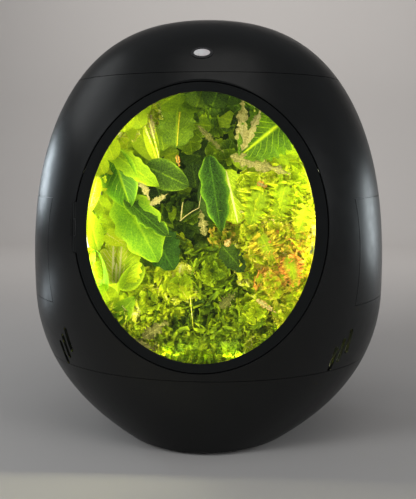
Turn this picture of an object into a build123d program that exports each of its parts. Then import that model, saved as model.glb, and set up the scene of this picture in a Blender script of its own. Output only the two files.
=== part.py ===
from build123d import *
import os
from math import cos, pi, radians, sin, sqrt, tan

# Countertop hydroponic garden: an egg-shaped cabinet with an oval glass door on its flat, leaning face.
# Origin: centre of the footprint on the surface it stands on. +Z up, the door faces -Y, +X to the right.
# The shapes are drawn about the egg's upright axis, and the finished pieces are then moved to that origin.
# All lengths are millimetres and all angles are degrees.

# ---- driving dimensions: cabinet form ----
half_width_max = 292.0       # egg, centre to flank, at its widest height
widest_height = 240.0
cabinet_height = 672.0
upper_power = 2.5            # superellipse exponent above the widest height
lower_reach = 269.0          # lower superellipse, widest height down to where it would close
lower_power = 2.1
foot_half_depth = 174.0      # egg, centre to front, at the floor
floor_height = 6.0           # underside of the base above the surface
crown_flat = 0.5             # height cut off the very top, where the egg would close to a point
section_count = 24
shell_wall = 4.0

# ---- driving dimensions: door face ----
face_distance = 196.0        # cabinet axis to the door face, at the window's centre
face_lean = 6.28
window_height = 352.0
rim_half_width = 185.0
rim_half_height = 212.0
rim_land = 1.0               # flat edge between the egg's rim and the door's pocket
door_gap = 1.5
door_recess = 1.0
door_thickness = 7.0
glass_half_width = 165.5
glass_half_height = 196.5
glass_thickness = 4.0
glass_lap = 6.0              # how far the pane runs behind the frame's lip
lip_thickness = 2.0          # frame's lip in front of the pane
mouth_margin = 2.5           # opening in the shell beyond the visible glass
seal_room = 1.0
ledge_thickness = 3.0
seal_inset = 0.5
gasket_width = 3.5
soft_clearance = 0.3         # seat of a soft or loose piece

# ---- driving dimensions: hinge, magnets ----
barrel_radius = 3.0
barrel_clearance = 0.4
hinge_pin_radius = 1.25
running_clearance = 0.05
knuckle_length = 24.0
knuckle_gap = 0.5
knuckle_reach = 8.0          # how far a knuckle's tab runs into the door frame
notch_width = 10.0
magnet_radius = 2.5
magnet_thickness = 2.0
magnet_inset = 13.5          # magnets' oval beyond the visible glass
magnet_spread = 14.0         # angle of the magnets above and below the free side's middle

# ---- driving dimensions: seams, lips and openings in the shells ----
base_seam = 130.0
cap_seam = 575.0
shell_split = 30.0           # plane between front and rear shell, behind the axis
seam_gap = 0.8
lip_height = 6.0
lip_gap = 0.3
lip_wall = 2.0
shelf_thickness = 4.0
shelf_width = 6.0
rebate_depth = 2.0
panel_front = -150.0
panel_rear = -40.0
panel_low = 232.0
panel_high = 392.0
panel_lap = 10.0
vent_azimuth = 35.0
vent_height = 163.0
vent_offset = -1.0
vent_length = 40.0
vent_width = 8.0
vent_pitch = 12.3
vent_stagger = 12.5
exhaust_slots = 7
exhaust_pitch = 16.0
exhaust_width = 6.0
exhaust_length = 30.0
exhaust_height = 612.0

# ---- driving dimensions: feet, reservoir and deck ----
foot_radius = 17.0
foot_recess = 2.0
foot_chamfer = 1.0
foot_x = 85.0
foot_y = 95.0
post_radius = 9.0
post_cap = 2.0               # floor left over the blind screw hole in a post
screw_head_radius = 4.5
screw_head_height = 2.5
screw_radius = 2.0
screw_length = 11.0
tank_inset = 12.0
tank_wall = 3.0
tank_rim = 112.0
deck_thickness = 4.0
deck_margin = 0.4            # deck and ceiling rim to the shell's inner face
float_radius = 17.0
float_height = 18.0
float_round = 3.0
float_lift = 0.3
float_x = -70.0
float_y = 60.0
stem_radius = 5.0
stem_flange = 3.0
stem_lift = 4.0
filler_x = 80.0
filler_y = -152.0
filler_width = 60.0
filler_depth = 24.0
filler_corner = 5.0
flap_thickness = 3.0
flap_lap = 4.0
flap_seat = 0.2
flap_barrel = 3.0
trunnion_radius = 1.5
ear_gap = 0.5
ear_width = 4.0
pull_inset = 6.0
pull_length = 24.0
pull_width = 4.0
pull_height = 2.0

# ---- driving dimensions: pump, riser and manifold ----
riser_radius = 5.0
riser_bore = 3.5
riser_x = 36.0
riser_seat = 12.0
pump_size = 38.0
pump_height = 36.0
pump_corner = 5.0
pump_skin = 1.0              # wall behind the riser's socket
impeller_radius = 11.0
impeller_width = 8.0
impeller_gap = 0.5
impeller_disc = 1.5
impeller_blades = 6
shaft_radius = 1.5
manifold_rise = 70.0         # manifold above the top row of pots
manifold_over = 8.0          # angle that the manifold runs past its end outlets
socket_ring = 2.0
outlet_radius = 2.0
outlet_length = 12.0

# ---- driving dimensions: grow wall, pots, plants ----
grow_half_width = 182.0
grow_half_depth = 140.0
grow_wing = 92.0
grow_wall_thickness = 3.0
ceiling_height = 556.0
ceiling_thickness = 4.0
pot_columns = 3
pot_column_angle = 55.0
pot_rows = 3
pot_row_first = 192.0
pot_row_pitch = 120.0
pot_tilt = 45.0
pot_radius = 23.0
pot_tail_radius = 16.0
pot_depth = 40.0
pot_wall = 1.6
pot_flange = 4.0
pot_flange_thickness = 2.5
pot_clearance = 0.6
pot_slots = 6
pot_slot_length = 24.0
pot_slot_width = 4.0
socket_reach = 33.0
socket_wall = 3.5
plug_radius = 16.5
plug_depth = 24.0
plug_recess = 3.0
plant_front_gap = 34.0       # door face to the front of the leaves
plant_gap = 4.0
plant_half_width = 165.0
plant_long = 280.0
plant_rear_middle = 88.0
plant_rear_side = 35.0
plant_low = 158.0
plant_high = 532.0
plant_round = 24.0
plant_wall_gap = 14.0
stalk_radius = 8.0
stalk_length = 66.0

# ---- driving dimensions: lights ----
light_bar_width = 14.0
light_bar_depth = 58.0
light_bar_corner = 2.0
light_bar_low = 190.0
light_bar_high = 465.0
led_size = 5.0
led_thickness = 1.0
led_pocket = 3.0
bar_leds = 9
bar_led_pitch = 28.0
tray_half_width = 140.0
tray_half_depth = 62.0
tray_y = -62.0
tray_wall = 2.0
tray_height = 8.0
board_thickness = 1.6
board_margin = 0.3
board_led_pitch = 28.0
board_led_columns = 7
board_led_rows = 3

# ---- driving dimensions: fan and control board ----
fan_size = 80.0
fan_depth = 20.0
fan_corner = 4.0
fan_y = 70.0
fan_radius = 37.0
fan_tip_gap = 1.0
fan_hub_radius = 14.0
fan_spider = 3.0
fan_blades = 7
fan_pitch = 35.0
fan_chord = 14.0
fan_blade_thickness = 1.5
fan_shaft_radius = 2.0
control_x = -115.0
control_y = 20.0
control_width = 80.0
control_depth = 60.0
control_inset = 10.0         # board's edges to the standoffs' centres, both sides together
standoff_radius = 3.0
standoff_height = 5.0
control_chip = 12.0
control_chip_pitch = 22.0

# ---- driving dimensions: status button and power inlet ----
button_height = 604.0
button_half_width = 12.0
button_half_height = 7.0
button_travel = 1.2
button_proud = 0.6
button_cap_depth = 5.0
button_round = 0.8
button_stem = 6.0
button_stem_radius = 2.5
bezel_width = 2.0
bezel_proud = 0.6
bezel_sink = 1.0
sleeve_depth = 17.0
switch_width = 8.0
switch_tall = 6.0
inlet_height = 165.0
inlet_width = 28.0
inlet_tall = 20.0
inlet_depth = 22.0
inlet_flange = 3.0
inlet_sink = 1.2
inlet_corner = 3.0
inlet_pin_pitch = 7.0
inlet_pin_width = 1.5
inlet_pin_tall = 5.0


# ---- the egg ----
face_slope = tan(radians(face_lean))
upper_reach = cabinet_height - widest_height
rim_rise = rim_half_height * cos(radians(face_lean))
rim_top = window_height + rim_rise
rim_bottom = window_height - rim_rise
huge = 2 * (cabinet_height + half_width_max)


def half_width(height):
    """Centre to flank of the cabinet's outside at a height."""
    if height > widest_height:
        ratio, power = (height - widest_height) / upper_reach, upper_power
    else:
        ratio, power = (widest_height - height) / lower_reach, lower_power
    return half_width_max * (1 - ratio**power) ** (1 / power)


def face_reach(height):
    """Centre to the leaning door face at a height."""
    return face_distance - face_slope * (height - window_height)


def half_depth(height):
    """Centre to front of the cabinet's outside at a height, so that the face cuts it in the rim's oval."""
    if height > rim_top:
        return face_reach(rim_top) / half_width(rim_top) * half_width(height)
    if height < rim_bottom:
        return foot_half_depth + (face_reach(rim_bottom) - foot_half_depth) * height / rim_bottom
    rim_x = rim_half_width * sqrt(1 - ((height - window_height) / rim_rise) ** 2)
    return face_reach(height) / sqrt(1 - (rim_x / half_width(height)) ** 2)


def egg(inset):
    """The cabinet's outside form, drawn in by inset on every side."""
    crown = cabinet_height - crown_flat
    middle = (crown + floor_height) / 2
    in_x = 1 - inset / half_width_max
    in_y = 1 - inset / half_depth(window_height)
    in_z = 1 - inset / (crown - middle)
    with BuildPart() as form:
        for step in range(section_count + 1):
            height = middle - (middle - floor_height) * cos(pi * step / section_count)
            with BuildSketch(Plane.XY.offset(middle + (height - middle) * in_z)):
                Ellipse(half_width(height) * in_x, half_depth(height) * in_y)
        loft()
    return form.part


def face_oval(half_across, half_up, front, back):
    """Solid oval prism square to the door face, between two depths behind it."""
    with BuildPart() as prism:
        with BuildSketch(face.offset(-back)):
            Ellipse(half_across, half_up)
        extrude(amount=back - front)
    return prism.part


def cut_face(depth):
    """A block in front of the plane that lies depth behind the door face."""
    with BuildPart() as block:
        with BuildSketch(face.offset(-depth)):
            Rectangle(huge, huge)
        extrude(amount=huge)
    return block.part


def slice_of(form, low, high):
    """The part of a form between two heights."""
    with BuildPart() as piece:
        add(form)
        with BuildSketch(Plane.XY.offset(low)):
            Rectangle(huge, huge)
        extrude(amount=high - low, mode=Mode.INTERSECT)
    return piece.part


def cuboid(x_span, y_span, z_span):
    """A block between two corners, each span being (low, high)."""
    with BuildPart() as block:
        with BuildSketch(Plane.XY.offset(z_span[0])):
            with Locations(((x_span[0] + x_span[1]) / 2, (y_span[0] + y_span[1]) / 2)):
                Rectangle(x_span[1] - x_span[0], y_span[1] - y_span[0])
        extrude(amount=z_span[1] - z_span[0])
    return block.part


def room(gap):
    """The cabinet's inside, gap clear of its walls and of the plate behind the door."""
    return egg(shell_wall + gap) - cut_face(face_back + gap)


def skirt(low, seam, high):
    """Register lip: rooted in the wall below a seam, and standing inside the shell above it."""
    lip = slice_of(room(-shell_wall / 4), low, seam - seam_gap / 2) + slice_of(room(lip_gap), low, high)
    return lip - room(lip_gap + lip_wall)


def shelf(low, high, width):
    """Ring-shaped shelf on the inside of the wall."""
    return slice_of(room(-shell_wall / 4), low, high) - room(width)


os.makedirs("parts", exist_ok=True)

# The door face, and the planes behind it
face = Plane(
    origin=(0, -face_distance, window_height),
    x_dir=(1, 0, 0),
    z_dir=(0, -cos(radians(face_lean)), sin(radians(face_lean))),
)
ledge_depth = door_recess + door_thickness + seal_room
face_back = ledge_depth + ledge_thickness
pocket_half_width = rim_half_width - rim_land
pocket_half_height = rim_half_height - rim_land
mouth_half_width = glass_half_width + mouth_margin
mouth_half_height = glass_half_height + mouth_margin
magnet_half_width = glass_half_width + magnet_inset
magnet_half_height = glass_half_height + magnet_inset

outer = egg(0) - cut_face(0)
inner = room(0)
shell = outer - inner

# Each finished piece moves by this much, from the egg's axis to the middle of the footprint
front_reach = face_distance + rim_half_height * sin(radians(face_lean))
rear_reach = max(half_depth(height) for height in range(round(cabinet_height)))
to_origin = (0, round((front_reach - rear_reach) / 2, 1), 0)


# ---- base shell: a bowl with foot posts, and a lip that the upper shells sit over ----
tank_floor = floor_height + tank_inset
base_floor = floor_height + shell_wall
with BuildPart() as base_shell:
    add(slice_of(shell, 0, base_seam - seam_gap / 2))
    add(skirt(base_seam - lip_height, base_seam, base_seam + lip_height))
    with BuildSketch(Plane.XY.offset(base_floor - shell_wall / 4)):
        with GridLocations(2 * foot_x, 2 * foot_y, 2, 2):
            Circle(post_radius)
    extrude(amount=tank_floor - base_floor + shell_wall / 4)
    with BuildSketch(Plane.XY):
        with GridLocations(2 * foot_x, 2 * foot_y, 2, 2):
            Circle(foot_radius + soft_clearance)
    extrude(amount=floor_height + foot_recess, mode=Mode.SUBTRACT)
    with BuildSketch(Plane.XY):
        with GridLocations(2 * foot_x, 2 * foot_y, 2, 2):
            Circle(screw_radius + running_clearance)
    extrude(amount=tank_floor - post_cap, mode=Mode.SUBTRACT)
base_shell.part.label = "base_shell"
base_shell.part.position = to_origin
export_step(base_shell.part, "parts/base_shell.step")

# ---- four rubber feet and their screws ----
foot_height = floor_height + foot_recess
head_top = foot_height / 2
corners = [(side * foot_x, end * foot_y) for side in (-1, 1) for end in (-1, 1)]
for number, corner in enumerate(corners, start=1):
    with BuildPart() as foot:
        with BuildSketch(Plane.XY):
            with Locations(corner):
                Circle(foot_radius)
        extrude(amount=foot_height)
        chamfer(foot.faces().sort_by(Axis.Z)[0].edges(), foot_chamfer)
        with BuildSketch(Plane.XY):
            with Locations(corner):
                Circle(screw_head_radius + soft_clearance)
        extrude(amount=head_top, mode=Mode.SUBTRACT)
        with BuildSketch(Plane.XY):
            with Locations(corner):
                Circle(screw_radius + running_clearance)
        extrude(amount=foot_height, mode=Mode.SUBTRACT)
    foot.part.label = f"foot_{number}"
    foot.part.position = to_origin
    export_step(foot.part, f"parts/foot_{number}.step")

with BuildPart() as foot_screws:
    with BuildSketch(Plane.XY.offset(head_top - screw_head_height)):
        with Locations(corners):
            Circle(screw_head_radius)
    extrude(amount=screw_head_height)
    with BuildSketch(Plane.XY.offset(head_top)):
        with Locations(corners):
            Circle(screw_radius)
    extrude(amount=screw_length)
foot_screws.part.label = "foot_screws"
foot_screws.part.position = to_origin
export_step(foot_screws.part, "parts/foot_screws.step")

# ---- reservoir: an open tank that follows the base ----
with BuildPart() as reservoir:
    add(slice_of(egg(tank_inset), 0, tank_rim))
    add(egg(tank_inset + tank_wall), mode=Mode.SUBTRACT)
reservoir.part.label = "reservoir"
reservoir.part.position = to_origin
export_step(reservoir.part, "parts/reservoir.step")

# ---- grow wall outline, which the riser and the manifold follow ----
deck_top = tank_rim + deck_thickness
pipe_gap = grow_wall_thickness + riser_radius + socket_ring + soft_clearance
pipe_half_width = grow_half_width + pipe_gap
pipe_half_depth = grow_half_depth + pipe_gap
riser_y = pipe_half_depth * sqrt(1 - (riser_x / pipe_half_width) ** 2)

# ---- floor deck with filler opening, hinge ears and the float's guide stem ----
filler_rear = filler_y + filler_depth / 2
trunnion_y = filler_rear + flap_lap
trunnion_z = deck_top + flap_seat + flap_barrel
ear_x = filler_width / 2 + flap_lap + ear_gap
stem_foot = tank_floor + tank_wall + stem_lift
with BuildPart() as floor_deck:
    add(slice_of(room(deck_margin), tank_rim, deck_top))
    with BuildSketch(Plane.XY.offset(tank_rim)):
        with Locations((filler_x, filler_y)):
            RectangleRounded(filler_width, filler_depth, filler_corner)
        with Locations((riser_x, riser_y)):
            Circle(riser_radius + soft_clearance)
    extrude(amount=deck_thickness, mode=Mode.SUBTRACT)
    with BuildSketch(Plane.XY.offset(stem_foot)):
        with Locations((float_x, float_y)):
            Circle(stem_radius)
    extrude(amount=tank_rim - stem_foot)
    with BuildSketch(Plane.XY.offset(stem_foot)):
        with Locations((float_x, float_y)):
            Circle(stem_radius + stem_flange)
    extrude(amount=stem_flange)
    for side in (-1, 1):
        inner_face = filler_x + side * ear_x
        with BuildSketch(Plane.YZ.offset(inner_face)):
            with Locations((trunnion_y, (deck_top + trunnion_z) / 2)):
                Rectangle(2 * flap_barrel, trunnion_z - deck_top)
            with Locations((trunnion_y, trunnion_z)):
                Circle(flap_barrel)
                Circle(trunnion_radius + running_clearance, mode=Mode.SUBTRACT)
        extrude(amount=side * ear_width)
floor_deck.part.label = "floor_deck"
floor_deck.part.position = to_origin
export_step(floor_deck.part, "parts/floor_deck.step")

# ---- filler flap on two trunnions ----
flap_width = filler_width + 2 * flap_lap
flap_front = filler_y - filler_depth / 2 - flap_lap
with BuildPart() as filler_flap:
    with BuildSketch(Plane.XY.offset(deck_top + flap_seat)):
        with Locations((filler_x, (flap_front + trunnion_y) / 2)):
            Rectangle(flap_width, trunnion_y - flap_front)
    extrude(amount=flap_thickness)
    with BuildSketch(Plane.YZ.offset(filler_x - flap_width / 2)):
        with Locations((trunnion_y, trunnion_z)):
            Circle(flap_barrel)
    extrude(amount=flap_width)
    with BuildSketch(Plane.YZ.offset(filler_x - ear_x - ear_width)):
        with Locations((trunnion_y, trunnion_z)):
            Circle(trunnion_radius)
    extrude(amount=2 * (ear_x + ear_width))
    with BuildSketch(Plane.XY.offset(deck_top + flap_seat + flap_thickness)):
        with Locations((filler_x, flap_front + pull_inset)):
            SlotOverall(pull_length, pull_width)
    extrude(amount=pull_height)
filler_flap.part.label = "filler_flap"
filler_flap.part.position = to_origin
export_step(filler_flap.part, "parts/filler_flap.step")

# ---- level float on its stem ----
float_low = stem_foot + stem_flange + float_lift
with BuildPart() as level_float:
    with BuildSketch(Plane.XY.offset(float_low)):
        with Locations((float_x, float_y)):
            Circle(float_radius)
            Circle(stem_radius + running_clearance, mode=Mode.SUBTRACT)
    extrude(amount=float_height)
    fillet(level_float.edges().filter_by(GeomType.CIRCLE).group_by(SortBy.RADIUS)[-1], float_round)
level_float.part.label = "level_float"
level_float.part.position = to_origin
export_step(level_float.part, "parts/level_float.step")

# ---- pump, its impeller and the riser ----
pump_floor = tank_floor + tank_wall
pump_top = pump_floor + pump_height
pump_rear = riser_y + riser_radius + pump_skin
pump_front = pump_rear - pump_size
axle_z = pump_floor + pump_height / 2
volute_depth = impeller_width + 2 * impeller_gap
pump_nose = Plane(origin=(riser_x, pump_front, axle_z), x_dir=(1, 0, 0), z_dir=(0, -1, 0))
with BuildPart() as pump_body:
    with BuildSketch(Plane.XY.offset(pump_floor)):
        with Locations((riser_x, (pump_front + pump_rear) / 2)):
            RectangleRounded(pump_size, pump_size, pump_corner)
    extrude(amount=pump_height)
    with BuildSketch(pump_nose.offset(-volute_depth)):
        Circle(impeller_radius + 2 * impeller_gap)
    extrude(amount=volute_depth, mode=Mode.SUBTRACT)
    with BuildSketch(pump_nose.offset(-volute_depth)):
        Circle(shaft_radius)
    extrude(amount=volute_depth)
    with BuildSketch(Plane.XY.offset(pump_top - riser_seat)):
        with Locations((riser_x, riser_y)):
            Circle(riser_radius + running_clearance)
    extrude(amount=riser_seat, mode=Mode.SUBTRACT)
pump_body.part.label = "pump_body"
pump_body.part.position = to_origin
export_step(pump_body.part, "parts/pump_body.step")

with BuildPart() as pump_impeller:
    with BuildSketch(pump_nose.offset(impeller_gap - volute_depth)):
        Circle(impeller_radius)
    extrude(amount=impeller_disc)
    with BuildSketch(pump_nose.offset(impeller_gap - volute_depth)):
        Circle(3 * shaft_radius)
        with PolarLocations(impeller_radius / 2, impeller_blades):
            Rectangle(impeller_radius - shaft_radius, impeller_disc)
    extrude(amount=impeller_width)
    with BuildSketch(pump_nose.offset(-volute_depth)):
        Circle(shaft_radius + running_clearance)
    extrude(amount=volute_depth, mode=Mode.SUBTRACT)
pump_impeller.part.label = "pump_impeller"
pump_impeller.part.position = to_origin
export_step(pump_impeller.part, "parts/pump_impeller.step")

manifold_z = pot_row_first + (pot_rows - 1) * pot_row_pitch + manifold_rise
riser_top = manifold_z - riser_radius
with BuildPart() as riser_tube:
    with BuildSketch(Plane.XY.offset(pump_top - riser_seat)):
        with Locations((riser_x, riser_y)):
            Circle(riser_radius)
            Circle(riser_bore, mode=Mode.SUBTRACT)
    extrude(amount=riser_top - pump_top + riser_seat)
riser_tube.part.label = "riser_tube"
riser_tube.part.position = to_origin
export_step(riser_tube.part, "parts/riser_tube.step")

# ---- drip manifold behind the grow wall, with an outlet over each column of pots ----
column_angles = [90 + (column - (pot_columns - 1) / 2) * pot_column_angle for column in range(pot_columns)]
first_angle, last_angle = column_angles[0] - manifold_over, column_angles[-1] + manifold_over
with BuildPart() as drip_manifold:
    with BuildLine(Plane.XY.offset(manifold_z)) as manifold_path:
        EllipticalCenterArc(
            (0, 0),
            pipe_half_width,
            pipe_half_depth,
            start_angle=first_angle,
            arc_size=last_angle - first_angle,
        )
    with BuildSketch(Plane(origin=manifold_path.line @ 0, z_dir=manifold_path.line % 0)):
        Circle(riser_radius)
    sweep(path=manifold_path.line)
    with BuildSketch(Plane.XY.offset(riser_top - riser_seat)):
        with Locations((riser_x, riser_y)):
            Circle(riser_radius + socket_ring)
    extrude(amount=riser_seat + riser_radius)
    with BuildSketch(Plane.XY.offset(riser_top - riser_seat)):
        with Locations((riser_x, riser_y)):
            Circle(riser_radius + running_clearance)
    extrude(amount=riser_seat, mode=Mode.SUBTRACT)
    with BuildSketch(Plane.XY.offset(manifold_z - riser_radius - outlet_length)):
        for angle in column_angles:
            with Locations((pipe_half_width * cos(radians(angle)), pipe_half_depth * sin(radians(angle)))):
                Circle(outlet_radius)
    extrude(amount=outlet_length + riser_radius)
drip_manifold.part.label = "drip_manifold"
drip_manifold.part.position = to_origin
export_step(drip_manifold.part, "parts/drip_manifold.step")

# ---- hinge layout on the left of the door face: a barrel in the gap between rim and door ----
hinge_x = -(pocket_half_width - door_gap / 2)
hinge_half = 1.5 * knuckle_length + knuckle_gap
notch_x = hinge_x - barrel_radius - barrel_clearance
barrel_end = face.offset(-barrel_radius)


def barrel(radius, low, high):
    """Cylinder about the hinge axis, between two heights along it."""
    with BuildPart() as tube:
        with BuildSketch(Plane(origin=barrel_end.from_local_coords((hinge_x, low, 0)), z_dir=face.y_dir)):
            Circle(radius)
        extrude(amount=high - low)
    return tube.part


def face_block(x_span, up_span, front, back):
    """A block square to the door face, between two depths behind it."""
    with BuildPart() as block:
        with BuildSketch(face.offset(-back)):
            with Locations(((x_span[0] + x_span[1]) / 2, (up_span[0] + up_span[1]) / 2)):
                Rectangle(x_span[1] - x_span[0], up_span[1] - up_span[0])
        extrude(amount=back - front)
    return block.part


def vent_slots(side):
    """Three upright slots on one flank, each a step higher than the last."""
    outward = Vector(side * cos(radians(vent_azimuth)), -sin(radians(vent_azimuth)), 0)
    along = Vector(-side * outward.Y, side * outward.X, 0)
    slots = Part()
    for step in (-1, 0, 1):
        centre = outward * half_width_max / 2 + along * (vent_offset + side * step * vent_pitch)
        origin = (centre.X, centre.Y, vent_height + step * vent_stagger)
        with BuildPart() as slot:
            with BuildSketch(Plane(origin=origin, x_dir=(0, 0, 1), z_dir=outward)):
                SlotOverall(vent_length, vent_width)
            extrude(amount=half_width_max)
        slots += slot.part
    return slots


# ---- front shell: rim, pocket for the door, mouth, vents, and recesses for the flank panels ----
front_half = cuboid((-huge, huge), (-huge, shell_split - seam_gap / 2), (0, huge))
rear_half = cuboid((-huge, huge), (shell_split + seam_gap / 2, huge), (0, huge))
shelf_top = ceiling_height - soft_clearance
middle_shell = (
    slice_of(shell, base_seam + seam_gap / 2, cap_seam - seam_gap / 2)
    + shelf(shelf_top - shelf_thickness, shelf_top, shelf_width)
    + skirt(cap_seam - lip_height, cap_seam, cap_seam + lip_height)
)
panel_floor = egg(rebate_depth + soft_clearance)
with BuildPart() as front_shell:
    add(middle_shell)
    add(front_half, mode=Mode.INTERSECT)
    add(face_oval(pocket_half_width, pocket_half_height, 0, ledge_depth), mode=Mode.SUBTRACT)
    add(face_oval(mouth_half_width, mouth_half_height, 0, 2 * face_back), mode=Mode.SUBTRACT)
    add(
        face_block((notch_x, notch_x + notch_width), (-hinge_half - knuckle_gap, hinge_half + knuckle_gap),
                   0, 2 * barrel_radius + barrel_clearance),
        mode=Mode.SUBTRACT,
    )
    add(face_block((notch_x - barrel_radius, hinge_x), (-knuckle_length / 2, knuckle_length / 2),
                   barrel_radius, 2 * barrel_radius))
    add(barrel(barrel_radius, -knuckle_length / 2, knuckle_length / 2))
    add(barrel(hinge_pin_radius + running_clearance, -hinge_half, hinge_half), mode=Mode.SUBTRACT)
    for side in (-1, 1):
        add(vent_slots(side), mode=Mode.SUBTRACT)
        recess = cuboid(
            sorted((0, side * huge)),
            (panel_front - seam_gap, panel_rear + seam_gap),
            (panel_low - seam_gap, panel_high + seam_gap),
        )
        add(recess - panel_floor, mode=Mode.SUBTRACT)
        window = cuboid(
            sorted((0, side * huge)),
            (panel_front + panel_lap, panel_rear - panel_lap),
            (panel_low + panel_lap, panel_high - panel_lap),
        )
        add(window, mode=Mode.SUBTRACT)
    for step in (-1, 1):
        angle = radians(step * magnet_spread)
        with BuildSketch(face.offset(-ledge_depth - magnet_thickness)):
            with Locations((magnet_half_width * cos(angle), magnet_half_height * sin(angle))):
                Circle(magnet_radius + running_clearance)
        extrude(amount=magnet_thickness, mode=Mode.SUBTRACT)
front_shell.part.label = "front_shell"
front_shell.part.position = to_origin
export_step(front_shell.part, "parts/front_shell.step")

# ---- rear shell, with the power inlet's hole ----
inlet_slope = (half_depth(inlet_height + 1) - half_depth(inlet_height - 1)) / 2
inlet_face = Plane(
    origin=(0, half_depth(inlet_height), inlet_height), x_dir=(-1, 0, 0), z_dir=(0, 1, -inlet_slope)
)
with BuildPart() as rear_shell:
    add(middle_shell)
    add(rear_half, mode=Mode.INTERSECT)
    upright_lip = room(lip_gap) - room(lip_gap + lip_wall)
    add(upright_lip & cuboid((-huge, huge), (shell_split - lip_height, shell_split + lip_height),
                             (base_seam + 2 * lip_height, shelf_top - 2 * shelf_thickness)))
    upright_root = room(-shell_wall / 4) - room(lip_gap + lip_wall)
    add(upright_root & cuboid((-huge, huge), (shell_split + seam_gap / 2, shell_split + lip_height),
                              (base_seam + 2 * lip_height, shelf_top - 2 * shelf_thickness)))
    with BuildSketch(inlet_face.offset(-inlet_depth)):
        Rectangle(inlet_width + 2 * running_clearance, inlet_tall + 2 * running_clearance)
    extrude(amount=2 * inlet_depth, mode=Mode.SUBTRACT)
    with BuildSketch(inlet_face.offset(-inlet_sink)):
        Rectangle(
            inlet_width + 2 * inlet_flange + soft_clearance,
            inlet_tall + 2 * inlet_flange + soft_clearance,
        )
    extrude(amount=inlet_depth, mode=Mode.SUBTRACT)
rear_shell.part.label = "rear_shell"
rear_shell.part.position = to_origin
export_step(rear_shell.part, "parts/rear_shell.step")

with BuildPart() as power_inlet:
    with BuildSketch(inlet_face.offset(-inlet_depth)):
        RectangleRounded(inlet_width, inlet_tall, inlet_corner)
    extrude(amount=inlet_depth)
    with BuildSketch(inlet_face.offset(-inlet_sink)):
        RectangleRounded(inlet_width + 2 * inlet_flange, inlet_tall + 2 * inlet_flange, inlet_corner)
    extrude(amount=2 * inlet_sink)
    with BuildSketch(inlet_face.offset(-inlet_depth + inlet_flange)):
        RectangleRounded(inlet_width - 2 * inlet_flange, inlet_tall - 2 * inlet_flange, inlet_corner)
    extrude(amount=inlet_depth, mode=Mode.SUBTRACT)
    with BuildSketch(inlet_face.offset(-inlet_depth)):
        with Locations((-inlet_pin_pitch, 0), (0, 0), (inlet_pin_pitch, 0)):
            Rectangle(inlet_pin_width, inlet_pin_tall)
    extrude(amount=inlet_depth - inlet_flange)
power_inlet.part.label = "power_inlet"
power_inlet.part.position = to_origin
export_step(power_inlet.part, "parts/power_inlet.step")

# ---- flush service panels on both flanks ----
for side, hand in ((-1, "left"), (1, "right")):
    with BuildPart() as side_panel:
        add(outer - egg(rebate_depth))
        add(
            cuboid(sorted((0, side * huge)), (panel_front, panel_rear), (panel_low, panel_high)),
            mode=Mode.INTERSECT,
        )
    side_panel.part.label = f"side_panel_{hand}"
    side_panel.part.position = to_origin
    export_step(side_panel.part, f"parts/side_panel_{hand}.step")

# ---- door frame, a ring with two hinge knuckles ----
door_half_width = pocket_half_width - door_gap
door_half_height = pocket_half_height - door_gap
door_back = door_recess + door_thickness
pane_front = door_recess + lip_thickness
pane_half_width = glass_half_width + glass_lap
pane_half_height = glass_half_height + glass_lap
with BuildPart() as door_frame:
    add(face_oval(door_half_width, door_half_height, door_recess, door_back))
    add(face_oval(glass_half_width, glass_half_height, 0, door_back), mode=Mode.SUBTRACT)
    add(face_oval(pane_half_width + running_clearance, pane_half_height + running_clearance,
                  pane_front, door_back), mode=Mode.SUBTRACT)
    add(barrel(barrel_radius + barrel_clearance, -knuckle_length / 2 - knuckle_gap,
               knuckle_length / 2 + knuckle_gap), mode=Mode.SUBTRACT)
    for side in (-1, 1):
        span = sorted((side * (knuckle_length / 2 + knuckle_gap), side * hinge_half))
        add(barrel(barrel_radius, *span))
        add(face_block((hinge_x, hinge_x + knuckle_reach), span,
                       door_recess, 2 * barrel_radius - door_recess))
    add(barrel(hinge_pin_radius + running_clearance, -hinge_half, hinge_half), mode=Mode.SUBTRACT)
    for step in (-1, 1):
        angle = radians(step * magnet_spread)
        with BuildSketch(face.offset(-door_back)):
            with Locations((magnet_half_width * cos(angle), magnet_half_height * sin(angle))):
                Circle(magnet_radius + running_clearance)
        extrude(amount=magnet_thickness, mode=Mode.SUBTRACT)
door_frame.part.label = "door_frame"
door_frame.part.position = to_origin
export_step(door_frame.part, "parts/door_frame.step")

with BuildPart() as hinge_pin:
    add(barrel(hinge_pin_radius, -hinge_half, hinge_half))
hinge_pin.part.label = "hinge_pin"
hinge_pin.part.position = to_origin
export_step(hinge_pin.part, "parts/hinge_pin.step")

with BuildPart() as door_glass:
    add(face_oval(pane_half_width, pane_half_height, pane_front, pane_front + glass_thickness))
door_glass.part.label = "door_glass"
door_glass.part.position = to_origin
export_step(door_glass.part, "parts/door_glass.step")

seal_half_width = pane_half_width + seal_inset
seal_half_height = pane_half_height + seal_inset
with BuildPart() as door_gasket:
    add(face_oval(seal_half_width + gasket_width, seal_half_height + gasket_width,
                  door_back, ledge_depth - soft_clearance))
    add(face_oval(seal_half_width, seal_half_height, door_back, ledge_depth), mode=Mode.SUBTRACT)
door_gasket.part.label = "door_gasket"
door_gasket.part.position = to_origin
export_step(door_gasket.part, "parts/door_gasket.step")

# ---- magnets: a pair in the door's back, and a pair of strikes in the ledge ----
magnet_sets = {"door_magnets": door_back, "strike_magnets": ledge_depth + magnet_thickness}
for node, back in magnet_sets.items():
    with BuildPart() as magnets:
        for step in (-1, 1):
            angle = radians(step * magnet_spread)
            with BuildSketch(face.offset(-back)):
                with Locations((magnet_half_width * cos(angle), magnet_half_height * sin(angle))):
                    Circle(magnet_radius)
            extrude(amount=magnet_thickness)
    magnets.part.label = node
    magnets.part.position = to_origin
    export_step(magnets.part, f"parts/{node}.step")

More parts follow.
